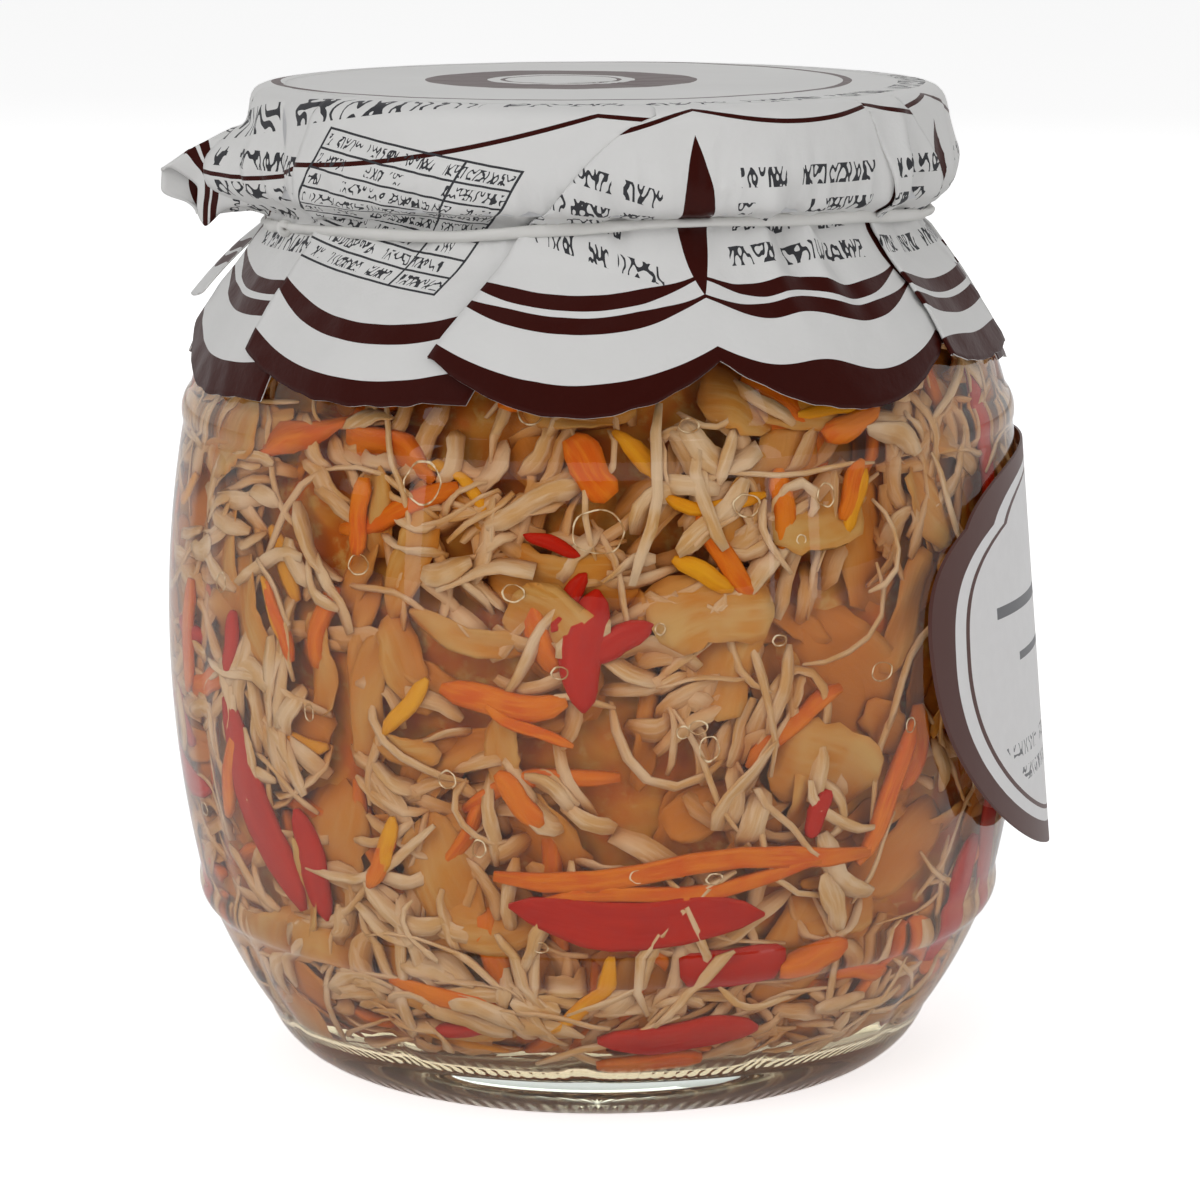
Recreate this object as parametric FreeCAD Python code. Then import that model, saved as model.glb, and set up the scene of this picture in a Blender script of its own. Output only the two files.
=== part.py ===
import FreeCAD, Part
import math
import os

# Barrel-shaped preserve jar with a steel twist-off lid, dressed with a printed paper hood that a
# thin elastic band holds, and with a paper label that stands off the barrel.
# Millimetres. +Z is up, the origin is on the jar's axis at table height, and the label faces +X.

# Glass: underside and heel
GLASS_WALL = 3.0
BASE_THICKNESS = 6.0
PUNT_RISE = 1.6
PUNT_RADIUS = 27.0
PUNT_ROUNDING = 0.4
FLOOR_RADIUS = 31.0
FLOOR_ROUNDING = 3.4
BEARING_INNER = 31.0
BEARING_OUTER = 33.0
HEEL_LOW_RADIUS = 41.4
HEEL_LOW_HEIGHT = 7.0
HEEL_ROUNDING = 1.5
HEEL_SIDE_ROUNDING = 0.4
HEEL_TOP_RADIUS = 48.0
HEEL_TOP_HEIGHT = 19.0

# Glass: the two hoops and the belly between them
LOWER_HOOP_WIDTH = 4.9
LOWER_HOOP_LIFT = 0.85
BELLY_START_RADIUS = 49.6
BELLY_RADIUS = 53.1
BELLY_HEIGHT = 55.5
BELLY_END_RADIUS = 50.95
BELLY_END_HEIGHT = 79.6
UPPER_HOOP_WIDTH = 4.4
UPPER_HOOP_LIFT = 0.6
SHOULDER_START_RADIUS = 50.0

# Glass: shoulder, neck and finish
SHOULDER_BULGE = 1.1
SHOULDER_WALL = 3.8
NECK_RADIUS = 38.2
NECK_BLEND = 2.8
NECK_BLEND_HEIGHT = 3.8
NECK_BLEND_ROUNDING = 0.6
NECK_LENGTH = 14.6
JAR_HEIGHT = 119.4
RIM_ROUNDING = 1.0

# Stave grooves
STAVE_COUNT = 12
STAVE_FIRST_TURN = -98.0
GROOVE_WIDTH = 3.4
GROOVE_DEPTH = 0.5
GROOVE_MARGIN = 3.2
HEEL_GROOVE_MARGIN = 1.6

# Contents
HEADSPACE = 10.0

# Steel lid
LID_SHEET = 0.6
LID_RADIUS = 41.9
LID_SKIRT = 12.0
LID_CORNER = 1.4
LID_CURL = 0.9

# Paper hood
PAPER = 0.3
PAPER_GAP = 0.15
HOOD_BULGE = 0.9
HOOD_BULGE_DEPTH = 8.4
PETAL_COUNT = 9
PETAL_TURN = -78.0
HEM_LOW = 81.0
HEM_CUSP = 74.4
PLEAT_STEP = 1.0
PLEAT_PINCH = 0.12
PLEAT_ONSET = 1.6
TUCK_TURN = 0.6
EAR_TURN = -177.0
EAR_SPREAD = 9.0
EAR_REACH = 12.9
EAR_ABOVE_SKIRT = 2.0
EAR_RISE = 7.0
COLUMN_SPACING = 4.0
WAIST_GAP = 0.6
WAIST_ROWS = (4, 5)
WAIST_SHARE = 0.4
ROWS_BELOW_BAND = 6
FORMER_SAMPLES = 9

# Each pleat: turn at the lid's edge, turn at the hem, and which neighbour lies on top (+1 is the
# panel at the larger turn, -1 the panel at the smaller turn). Degrees about +Z from +X.
PLEATS = [
    (-173.0, -181.0, 1),
    (-145.0, -152.0, 1),
    (-87.0, -118.6, 1),
    (-48.0, -38.0, 1),
    (-38.0, -17.0, -1),
    (14.0, 4.0, 1),
    (52.0, 68.0, -1),
    (95.0, 84.0, 1),
    (138.0, 150.0, -1),
]

# Elastic band
BAND_THICKNESS = 1.5
BAND_DROP = 3.8
BAND_RISE = 2.4
BAND_HIGH_TURN = -95.0
KNOT_TURN = -160.0
KNOT_RADIUS = 1.5
KNOT_SPACING = 1.8
KNOT_STANDOFF = 0.15

# Front label: a cone-shaped sheet that touches the belly and stands off below it
LABEL_PAPER = 0.3
LABEL_SLOPE = 4.7
LABEL_DROP = 0.5
LABEL_HALF_WIDTH = 45.7
LABEL_UPPER_REACH = 19.2
LABEL_LOWER_REACH = 28.5
LABEL_UPPER_POWER = 3.0
LABEL_LOWER_POWER = 2.1
CREST_HALF_WIDTH = 38.0
CREST_REACH = 12.0
CREST_RISE = 10.5
CREST_POWER = 2.5
LABEL_OUTLINE_STEPS = 32
LABEL_SHEET_MARGIN = 1.0

QUARTER_BULGE = 1 - 1 / math.sqrt(2)
AXIS_START = FreeCAD.Vector(0, 0, 0)
AXIS = FreeCAD.Vector(0, 0, 1)


def flat(radius, height):
    """A point of a profile, in the XZ plane."""
    return FreeCAD.Vector(radius, 0, height)


def bulged_arc(start, end, bulge):
    """An arc between two profile points; a positive bulge leans it away from the axis."""
    chord = end - start
    outward = FreeCAD.Vector(chord.z, 0, -chord.x).normalize()
    middle = (start + end) * 0.5 + outward * bulge
    return Part.Arc(start, middle, end)


def edges_of(pieces):
    """Edges of a chain of curves and of the straight lines given as point pairs."""
    edges = []
    for piece in pieces:
        if isinstance(piece, tuple):
            edges.append(Part.makeLine(piece[0], piece[1]))
        else:
            edges.append(piece.toShape())
    return edges


def turned(pieces):
    """The solid that a closed profile sweeps about the jar's axis."""
    face = Part.Face(Part.Wire(edges_of(pieces)))
    return face.revolve(AXIS_START, AXIS, 360)


# Outer profile of the glass, from the heel to the neck
BEARING_EDGE = flat(BEARING_OUTER, 0)
HEEL_LOW = flat(HEEL_LOW_RADIUS, HEEL_LOW_HEIGHT)
HEEL_TOP = flat(HEEL_TOP_RADIUS, HEEL_TOP_HEIGHT)
BELLY_START = flat(BELLY_START_RADIUS, HEEL_TOP_HEIGHT + LOWER_HOOP_WIDTH)
BELLY_END = flat(BELLY_END_RADIUS, BELLY_END_HEIGHT)
SHOULDER_START = flat(SHOULDER_START_RADIUS, BELLY_END_HEIGHT + UPPER_HOOP_WIDTH)
NECK_BOTTOM_HEIGHT = JAR_HEIGHT - NECK_LENGTH
SHOULDER_END = flat(NECK_RADIUS + NECK_BLEND, NECK_BOTTOM_HEIGHT - NECK_BLEND_HEIGHT)
NECK_BOTTOM = flat(NECK_RADIUS, NECK_BOTTOM_HEIGHT)

HEEL_ARC = bulged_arc(BEARING_EDGE, HEEL_LOW, HEEL_ROUNDING)
HEEL_SIDE_ARC = bulged_arc(HEEL_LOW, HEEL_TOP, HEEL_SIDE_ROUNDING)
LOWER_HOOP_ARC = bulged_arc(HEEL_TOP, BELLY_START, LOWER_HOOP_LIFT)
BELLY_ARC = Part.Arc(BELLY_START, flat(BELLY_RADIUS, BELLY_HEIGHT), BELLY_END)
UPPER_HOOP_ARC = bulged_arc(BELLY_END, SHOULDER_START, UPPER_HOOP_LIFT)
SHOULDER_ARC = bulged_arc(SHOULDER_START, SHOULDER_END, SHOULDER_BULGE)
NECK_ARC = bulged_arc(SHOULDER_END, NECK_BOTTOM, -NECK_BLEND_ROUNDING)


def inner_profile():
    """Inside of the glass from the middle of the floor to the foot of the neck."""
    floor_edge = flat(FLOOR_RADIUS, BASE_THICKNESS)
    heel_end = flat(HEEL_TOP_RADIUS - GLASS_WALL, HEEL_TOP_HEIGHT)
    belly = flat(BELLY_RADIUS - GLASS_WALL, BELLY_HEIGHT)
    shoulder_start = flat(SHOULDER_START_RADIUS - GLASS_WALL, SHOULDER_START.z)
    shoulder_end = flat(SHOULDER_END.x - SHOULDER_WALL, SHOULDER_END.z)
    neck_bottom = flat(NECK_RADIUS - GLASS_WALL, NECK_BOTTOM_HEIGHT)
    return [
        (flat(0, BASE_THICKNESS), floor_edge),
        bulged_arc(floor_edge, heel_end, FLOOR_ROUNDING),
        Part.Arc(heel_end, belly, shoulder_start),
        bulged_arc(shoulder_start, shoulder_end, SHOULDER_BULGE),
        (shoulder_end, neck_bottom),
    ]


def groove_along(arc, start_height, end_height):
    """A round-ended cutter along one arc of the profile, in the XZ plane."""
    circle = arc.toShape().Curve
    centre = circle.Center
    cutter_radius = (GROOVE_WIDTH**2 / 4 + GROOVE_DEPTH**2) / (2 * GROOVE_DEPTH)
    path_radius = circle.Radius + cutter_radius - GROOVE_DEPTH
    low_angle = math.asin((start_height - centre.z) / circle.Radius)
    high_angle = math.asin((end_height - centre.z) / circle.Radius)
    low_end = centre + flat(math.cos(low_angle), math.sin(low_angle)) * path_radius
    high_end = centre + flat(math.cos(high_angle), math.sin(high_angle)) * path_radius
    along = flat(-math.sin(low_angle), math.cos(low_angle))
    disc = Part.Face(Part.Wire(Part.makeCircle(cutter_radius, low_end, along)))
    sweep_degrees = math.degrees(high_angle - low_angle)
    body = disc.revolve(centre, FreeCAD.Vector(0, -1, 0), sweep_degrees)
    low_ball = Part.makeSphere(cutter_radius, low_end)
    high_ball = Part.makeSphere(cutter_radius, high_end)
    return body.fuse([low_ball, high_ball])


def glass_jar():
    """The jar with its punt, heel, two hoops, belly, shoulder, neck and stave grooves."""
    rim_outer = flat(NECK_RADIUS - RIM_ROUNDING, JAR_HEIGHT)
    rim_side = flat(NECK_RADIUS, JAR_HEIGHT - RIM_ROUNDING)
    rim_inner = flat(NECK_RADIUS - GLASS_WALL, JAR_HEIGHT)
    neck_inside = flat(NECK_RADIUS - GLASS_WALL, NECK_BOTTOM_HEIGHT)
    punt_edge = flat(PUNT_RADIUS, PUNT_RISE)
    bearing_start = flat(BEARING_INNER, 0)
    glass = turned([
        (flat(0, PUNT_RISE), punt_edge),
        bulged_arc(punt_edge, bearing_start, -PUNT_ROUNDING),
        (bearing_start, BEARING_EDGE),
        HEEL_ARC,
        HEEL_SIDE_ARC,
        LOWER_HOOP_ARC,
        BELLY_ARC,
        UPPER_HOOP_ARC,
        SHOULDER_ARC,
        NECK_ARC,
        (NECK_BOTTOM, rim_side),
        bulged_arc(rim_side, rim_outer, QUARTER_BULGE * RIM_ROUNDING),
        (rim_outer, rim_inner),
        (rim_inner, neck_inside),
        *inner_profile()[::-1],
        (flat(0, BASE_THICKNESS), flat(0, PUNT_RISE)),
    ])
    belly_cutter = groove_along(BELLY_ARC, BELLY_START.z + GROOVE_MARGIN, BELLY_END.z - GROOVE_MARGIN)
    heel_cutter = groove_along(
        HEEL_SIDE_ARC, HEEL_LOW.z + HEEL_GROOVE_MARGIN, HEEL_TOP.z - HEEL_GROOVE_MARGIN
    )
    cutters = []
    for stave in range(STAVE_COUNT):
        turn = STAVE_FIRST_TURN + 360.0 * stave / STAVE_COUNT
        for cutter in (belly_cutter, heel_cutter):
            placed = cutter.copy()
            placed.rotate(AXIS_START, AXIS, turn)
            cutters.append(placed)
    return glass.cut(cutters)


def salad():
    """The vegetables and their brine, filling the glass up to the headspace."""
    level = JAR_HEIGHT - HEADSPACE
    neck_inside = NECK_RADIUS - GLASS_WALL
    return turned([
        *inner_profile(),
        (flat(neck_inside, NECK_BOTTOM_HEIGHT), flat(neck_inside, level)),
        (flat(neck_inside, level), flat(0, level)),
        (flat(0, level), flat(0, BASE_THICKNESS)),
    ])


def lid():
    """The twist-off lid: a flat top, a rounded corner, a skirt and a curl at the skirt's edge."""
    top = JAR_HEIGHT + LID_SHEET
    skirt_bottom = top - LID_SKIRT
    inner = LID_RADIUS - LID_SHEET
    top_edge = flat(LID_RADIUS - LID_CORNER, top)
    side_top = flat(LID_RADIUS, top - LID_CORNER)
    side_bottom = flat(LID_RADIUS, skirt_bottom)
    curl_inner = flat(inner - LID_CURL, skirt_bottom)
    curl_top = flat(inner, skirt_bottom + LID_CURL)
    inner_top = flat(inner, JAR_HEIGHT)
    return turned([
        (flat(0, JAR_HEIGHT), flat(0, top)),
        (flat(0, top), top_edge),
        bulged_arc(side_top, top_edge, QUARTER_BULGE * LID_CORNER),
        (side_top, side_bottom),
        (side_bottom, curl_inner),
        bulged_arc(curl_inner, curl_top, -QUARTER_BULGE * LID_CURL),
        (curl_top, inner_top),
        (inner_top, flat(0, JAR_HEIGHT)),
    ])


def band_height(turn):
    """Height of the band's centre line, which is pushed up over the front half."""
    level = JAR_HEIGHT + LID_SHEET - LID_SKIRT - BAND_DROP
    return level + BAND_RISE * max(0.0, math.cos(math.radians(turn - BAND_HIGH_TURN)))


def former(turn):
    """Profile points that the paper's inside follows at one turn, from the lid's centre down."""
    gap = PAPER_GAP
    top = JAR_HEIGHT + LID_SHEET
    bevel = math.sqrt(2) * (LID_CORNER + gap)
    waist = flat(NECK_RADIUS + WAIST_GAP, band_height(turn))
    half_band = flat(0, BAND_THICKNESS / 2)
    points = [
        flat(0, top),
        flat(LID_RADIUS + bevel - 2 * LID_CORNER, top),
        flat(LID_RADIUS + gap, top + bevel - 2 * LID_CORNER - gap),
        flat(LID_RADIUS + gap + HOOD_BULGE, top - HOOD_BULGE_DEPTH),
        flat(LID_RADIUS + gap, top - LID_SKIRT),
        waist + half_band,
        waist - half_band,
    ]
    for arc in (SHOULDER_ARC, UPPER_HOOP_ARC, BELLY_ARC):
        samples = arc.toShape().discretize(FORMER_SAMPLES)
        if samples[0].z < samples[-1].z:
            samples = samples[::-1]
        for sample in samples[:-1]:
            point = sample + flat(gap, gap)
            if point.z < points[-1].z and point.x > waist.x:
                points.append(point)
    return points


def walk(points, distance):
    """The point at a distance along a chain of points."""
    for start, end in zip(points, points[1:]):
        step = (end - start).Length
        if distance <= step:
            return start + (end - start) * (distance / step)
        distance -= step
    return points[-1]


def reach(points, count):
    """Length of a chain up to one of its points."""
    return sum((points[i + 1] - points[i]).Length for i in range(count))


def hem_distance(turn):
    """How far the scalloped edge lies from the paper's centre."""
    phase = (turn - PETAL_TURN) * PETAL_COUNT / 360.0
    across = 2 * abs(phase - round(phase))
    return HEM_CUSP + (HEM_LOW - HEM_CUSP) * (1 - (1 - across)**2)


def pleat_turn(pleat, share):
    """Turn of a pleat's folded edge, a share of the way from the lid's edge to the hem."""
    return pleat[0] + (pleat[1] - pleat[0]) * share


def ear_lift(turn, height):
    """How far the crumpled ear of paper stands out."""
    aside = (turn - EAR_TURN + 180.0) % 360.0 - 180.0
    sideways = math.exp(-(aside / EAR_SPREAD)**2)
    middle = JAR_HEIGHT + LID_SHEET - LID_SKIRT + EAR_ABOVE_SKIRT
    upright = max(0.0, 1 - ((height - middle) / EAR_RISE)**2)
    return EAR_REACH * sideways * upright


def around(radius, turn, height):
    """A point given by its distance from the axis, its turn and its height."""
    angle = math.radians(turn)
    return FreeCAD.Vector(radius * math.cos(angle), radius * math.sin(angle), height)


def hood_column(turn_of_share, lift):
    """Inside and outside points of one column of the hood, from the lid's edge to the hem."""
    hem = hem_distance(turn_of_share(1.0))
    last_waist_row = WAIST_ROWS[-1]
    distances = [reach(former(turn_of_share(WAIST_SHARE)), row + 1) for row in range(last_waist_row + 1)]
    waist = distances[-1]
    for row in range(ROWS_BELOW_BAND):
        distances.append(waist + (hem - waist) * (row + 1) / ROWS_BELOW_BAND)
    inside = []
    outside = []
    start = distances[0]
    for row, distance in enumerate(distances):
        share = (distance - start) / (hem - start)
        turn = turn_of_share(share)
        point = walk(former(turn), distance)
        pinch = PLEAT_PINCH if row in WAIST_ROWS else 1.0
        fold = PLEAT_STEP * lift * pinch * min(1.0, PLEAT_ONSET * share)
        cover = PAPER if row > 0 else 0.0
        inside.append(around(point.x, turn, point.z))
        lifted = point.x + cover + fold + ear_lift(turn, point.z)
        outside.append(around(lifted, turn, point.z + PAPER - cover))
    return inside, outside


def hood_columns():
    """All columns of the hood, panel by panel, with a step at each pleat."""
    columns = []
    count = len(PLEATS)
    for number, pleat in enumerate(PLEATS):
        following = PLEATS[(number + 1) % count]
        wrap = 360.0 if number == count - 1 else 0.0
        first_lift = 1.0 if pleat[2] > 0 else 0.0
        last_lift = 1.0 if following[2] < 0 else 0.0
        steps = math.ceil((following[1] + wrap - pleat[1]) / COLUMN_SPACING)
        for step in range(steps + 1):
            across = step / steps

            def turn_of_share(share):
                begin = pleat_turn(pleat, share) + TUCK_TURN * (1.0 - first_lift)
                end = pleat_turn(following, share) + wrap - TUCK_TURN * (1.0 - last_lift)
                return begin + (end - begin) * across

            lift = first_lift * (1 - across)**2 + last_lift * across**2
            columns.append(hood_column(turn_of_share, lift))
    return columns


def closed_solid(triangles):
    """A solid from triangles, each three points; those that have no area are left out."""
    numbers = {}
    points = []
    facets = []
    for triangle in triangles:
        facet = []
        for point in triangle:
            key = (round(point.x, 4), round(point.y, 4), round(point.z, 4))
            if key not in numbers:
                numbers[key] = len(points)
                points.append(point)
            facet.append(numbers[key])
        if len(set(facet)) == 3:
            facets.append(tuple(facet))
    shape = Part.Shape()
    shape.makeShapeFromMesh((points, facets), 0.001)
    return Part.makeSolid(shape)


def paper_hood():
    """The printed paper: flat over the lid, pleated and pinched below it, scalloped at its hem."""
    columns = hood_columns()
    inner_middle = flat(0, JAR_HEIGHT + LID_SHEET)
    outer_middle = inner_middle + FreeCAD.Vector(0, 0, PAPER)
    triangles = []
    for number, column in enumerate(columns):
        c, a = column
        d, b = columns[(number + 1) % len(columns)]
        triangles.append((outer_middle, a[0], b[0]))
        triangles.append((inner_middle, d[0], c[0]))
        for row in range(len(a) - 1):
            triangles.append((a[row], a[row + 1], b[row + 1]))
            triangles.append((a[row], b[row + 1], b[row]))
            triangles.append((c[row], d[row + 1], c[row + 1]))
            triangles.append((c[row], d[row], d[row + 1]))
        triangles.append((a[-1], c[-1], d[-1]))
        triangles.append((a[-1], d[-1], b[-1]))
    return closed_solid(triangles)


def elastic_band():
    """The round band about the hood's waist: two half rings, tilted to each other, and a knot."""
    half = BAND_THICKNESS / 2
    fit_radius = NECK_RADIUS + WAIST_GAP + PAPER + PLEAT_STEP * PLEAT_PINCH + PAPER_GAP
    ring_radius = fit_radius + half
    level = band_height(BAND_HIGH_TURN + 180)
    side = around(ring_radius, BAND_HIGH_TURN + 90, 0)
    disc = Part.Face(Part.Wire(Part.makeCircle(half, side, around(1, BAND_HIGH_TURN, 0))))
    back_half = disc.revolve(AXIS_START, AXIS, 180)
    front_half = disc.revolve(AXIS_START, AXIS, -180)
    tilt = math.degrees(math.atan(BAND_RISE / ring_radius))
    front_half.rotate(AXIS_START, side, -tilt)
    pieces = [front_half, Part.makeSphere(half, side), Part.makeSphere(half, side * -1)]
    knot_offset = KNOT_RADIUS - half + KNOT_STANDOFF
    for aside in (-KNOT_SPACING / 2, KNOT_SPACING / 2):
        turn = KNOT_TURN + math.degrees(aside / ring_radius)
        height = band_height(turn) - level
        pieces.append(Part.makeSphere(KNOT_RADIUS, around(ring_radius + knot_offset, turn, height)))
    band = back_half.fuse(pieces)
    band.translate(flat(0, level))
    return band


def label_lobe(half_width, upper, lower, upper_power, lower_power, centre_height):
    """A rounded lobe of the label's outline as a prism along +X."""
    ring_radius = label_radius(centre_height)
    points = []
    for step in range(LABEL_OUTLINE_STEPS):
        angle = 2 * math.pi * step / LABEL_OUTLINE_STEPS
        side = math.cos(angle)
        rise = math.sin(angle)
        power = upper_power if rise > 0 else lower_power
        reach_here = upper if rise > 0 else lower
        width = half_width * math.copysign(abs(side)**(2 / power), side)
        height = reach_here * math.copysign(abs(rise)**(2 / power), rise)
        aside = ring_radius * math.sin(width / ring_radius)
        points.append(FreeCAD.Vector(0, aside, centre_height + height))
    curve = Part.BSplineCurve()
    curve.interpolate(points, True)
    face = Part.Face(Part.Wire(curve.toShape()))
    return face.extrude(FreeCAD.Vector(2 * BELLY_RADIUS, 0, 0))


def label_radius(height):
    """Radius of the label's inner side at a height: a straight slope that just clears the belly."""
    circle = BELLY_ARC.toShape().Curve
    slope = math.radians(LABEL_SLOPE)
    touch = circle.Center + flat(math.cos(slope), math.sin(slope)) * circle.Radius
    return touch.x + PAPER_GAP + (touch.z - height) * math.tan(slope)


def front_label():
    """The label: a thin cone cut to a wide lobe with a smaller crest above it."""
    centre_height = BELLY_HEIGHT - LABEL_DROP
    crest_height = centre_height + CREST_RISE
    low = centre_height - LABEL_LOWER_REACH - LABEL_SHEET_MARGIN
    high = crest_height + CREST_REACH + LABEL_SHEET_MARGIN
    low_inner = flat(label_radius(low), low)
    high_inner = flat(label_radius(high), high)
    thickness = flat(LABEL_PAPER, 0)
    sheet = turned([
        (low_inner, low_inner + thickness),
        (low_inner + thickness, high_inner + thickness),
        (high_inner + thickness, high_inner),
        (high_inner, low_inner),
    ])
    field = label_lobe(
        LABEL_HALF_WIDTH, LABEL_UPPER_REACH, LABEL_LOWER_REACH,
        LABEL_UPPER_POWER, LABEL_LOWER_POWER, centre_height,
    )
    crest = label_lobe(CREST_HALF_WIDTH, CREST_REACH, CREST_REACH, CREST_POWER, CREST_POWER, crest_height)
    return sheet.common(field.fuse(crest))


NODES = {
    "glass_jar": glass_jar,
    "salad": salad,
    "lid": lid,
    "paper_hood": paper_hood,
    "elastic_band": elastic_band,
    "front_label": front_label,
}

os.makedirs("parts", exist_ok=True)
for name, build in NODES.items():
    shape = build()
    if shape.Solids and len(shape.Solids) == 1:
        shape = shape.Solids[0]
    box = shape.BoundBox
    print(
        name, shape.isValid(), len(shape.Solids), f"{shape.Volume / 1000:.2f} cm3",
        f"x {box.XMin:.2f} {box.XMax:.2f}  y {box.YMin:.2f} {box.YMax:.2f}",
        f"z {box.ZMin:.2f} {box.ZMax:.2f}",
    )
    shape.exportStep(f"parts/{name}.step")
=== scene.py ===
import bpy
import math
import random
import numpy as np
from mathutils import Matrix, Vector, noise


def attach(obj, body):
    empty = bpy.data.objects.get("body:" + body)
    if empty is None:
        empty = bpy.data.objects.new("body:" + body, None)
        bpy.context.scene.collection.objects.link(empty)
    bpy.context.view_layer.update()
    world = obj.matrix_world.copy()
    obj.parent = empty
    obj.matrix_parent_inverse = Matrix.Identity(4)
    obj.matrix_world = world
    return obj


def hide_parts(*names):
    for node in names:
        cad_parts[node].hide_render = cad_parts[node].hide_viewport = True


# Dresses the jar of vegetable salad: clear ribbed glass, brine and shredded vegetables,
# a printed paper hood held by an elastic band, and the front label.
# Sizes are millimetres here and become metres when a mesh is written.

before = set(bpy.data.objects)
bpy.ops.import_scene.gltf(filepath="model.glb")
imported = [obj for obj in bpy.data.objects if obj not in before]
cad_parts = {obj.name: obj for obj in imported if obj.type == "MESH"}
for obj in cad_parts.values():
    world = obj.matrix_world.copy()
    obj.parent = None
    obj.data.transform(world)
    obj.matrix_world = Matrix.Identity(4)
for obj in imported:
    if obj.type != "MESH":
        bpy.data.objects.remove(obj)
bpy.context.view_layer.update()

MM = 0.001
FRONT_TURN = -95.0
LATHE_MERGE = 0.00002
SHEET_MERGE = 0.00001
SHEET = 0.16
BAND_TALL = 0.78
BAND_DEEP = 0.5
KNOT_TURN = -65.0
EAR_TURN = -83.0

# Glass, from the source's named sizes
WALL = 3.0
BASE = 6.0
JAR_HEIGHT = 119.4
NECK_RADIUS = 38.2
BEARING_EDGE = (33.0, 0.0)
HEEL_LOW = (41.4, 7.0)
HEEL_TOP = (48.0, 19.0)
BELLY_START = (49.6, 23.9)
BELLY = (53.1, 55.5)
BELLY_END = (50.95, 79.6)
SHOULDER_START = (50.0, 84.0)
SHOULDER_END = (41.0, 101.0)
NECK_BOTTOM = (38.2, 104.8)
LEVEL = 109.4
BRINE_OVERLAP = 0.06
CORE_INSET = 4.6
STAVES = 12
FIRST_STAVE = 22.0
GROOVE_WIDTH = 3.4
GROOVE_DEPTH = 0.5
GROOVE_MARGIN = 2.6
GROOVES = ((27.1, 76.4), (8.6, 17.4))

# Lid and paper
LID_TOP = 120.0
LID_RADIUS = 41.9
LID_SKIRT = 12.0

# Each pleat of the hood, in turns from the front: at the lid's edge, at the hem, and which
# neighbour lies on top (+1 the panel on its right, -1 the panel on its left)
PLEATS = [
    (-78.0, -86.0, 1),
    (-50.0, -57.0, 1),
    (9.0, -23.4, 1),
    (47.0, 57.0, 1),
    (57.0, 81.0, -1),
    (109.0, 99.0, 1),
    (147.0, 163.0, -1),
    (190.0, 179.0, 1),
    (233.0, 245.0, -1),
]
TABLE_PANEL = 1

# Each panel's petals: turns of its first and last cusp at the lid's edge, the same at the hem,
# how many petals lie between, and the hem's distance from the paper's centre at a cusp and at
# the middle of a petal
PETALS = [
    (-84.0, -42.0, -86.0, -40.0, 1, 75.5, 82.4),
    (-66.0, 0.0, -66.0, 0.0, 1, 71.8, 81.4),
    (-23.0, 53.0, -23.2, 57.0, 2, 75.2, 81.9),
    (42.0, 86.0, 48.0, 94.0, 1, 74.6, 78.4),
    (68.0, 112.0, 70.0, 112.0, 1, 76.0, 80.0),
    (97.0, 177.0, 97.0, 177.0, 2, 75.2, 81.6),
    (150.0, 190.0, 150.0, 192.0, 1, 75.2, 81.0),
    (175.0, 255.0, 173.0, 255.0, 2, 75.2, 81.6),
    (238.0, 280.0, 240.0, 282.0, 1, 75.2, 80.6),
]

# Sharp creases of the paper: turn and distance at each end, how far it lifts the paper, its width
CREASES = [
    (27.0, 49.0, 30.0, 70.0, 1.3, 2.6),
    (31.0, 52.0, 34.0, 66.0, -1.5, 2.4),
    (35.5, 50.0, 38.0, 68.0, 1.2, 2.8),
    (40.0, 55.0, 43.0, 72.0, -0.9, 2.6),
    (30.0, 56.0, 40.0, 61.0, 0.9, 2.0),
    (20.0, 55.0, 22.0, 68.0, -0.5, 2.4),
    (-8.0, 44.0, -2.0, 56.0, 0.5, 2.2),
    (2.0, 50.0, 5.0, 62.0, -0.6, 2.4),
    (-30.0, 52.0, -34.0, 66.0, -0.7, 2.8),
    (-22.0, 50.0, -24.0, 60.0, 0.6, 2.4),
    (-40.0, 54.0, -43.0, 63.0, 0.5, 2.6),
    (56.0, 41.0, 53.0, 56.0, 1.6, 3.0),
    (60.0, 46.0, 62.0, 58.0, -1.4, 3.0),
    (74.0, 42.0, 72.0, 58.0, 1.0, 3.0),
    (84.0, 48.0, 82.0, 62.0, -1.0, 3.0),
    (-62.0, 42.0, -60.0, 58.0, -1.5, 3.4),
    (-70.0, 44.0, -68.0, 60.0, 1.2, 3.0),
    (-54.0, 48.0, -57.0, 64.0, 0.8, 2.6),
    (118.0, 46.0, 122.0, 66.0, -1.1, 3.0),
    (134.0, 44.0, 131.0, 60.0, 1.0, 3.0),
    (156.0, 48.0, 160.0, 66.0, -1.0, 3.0),
    (-168.0, 45.0, -164.0, 62.0, 1.1, 3.0),
    (-150.0, 48.0, -152.0, 66.0, -1.2, 3.0),
    (-118.0, 46.0, -114.0, 64.0, 1.0, 3.0),
    (-104.0, 44.0, -106.0, 60.0, -1.0, 3.0),
]


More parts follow.
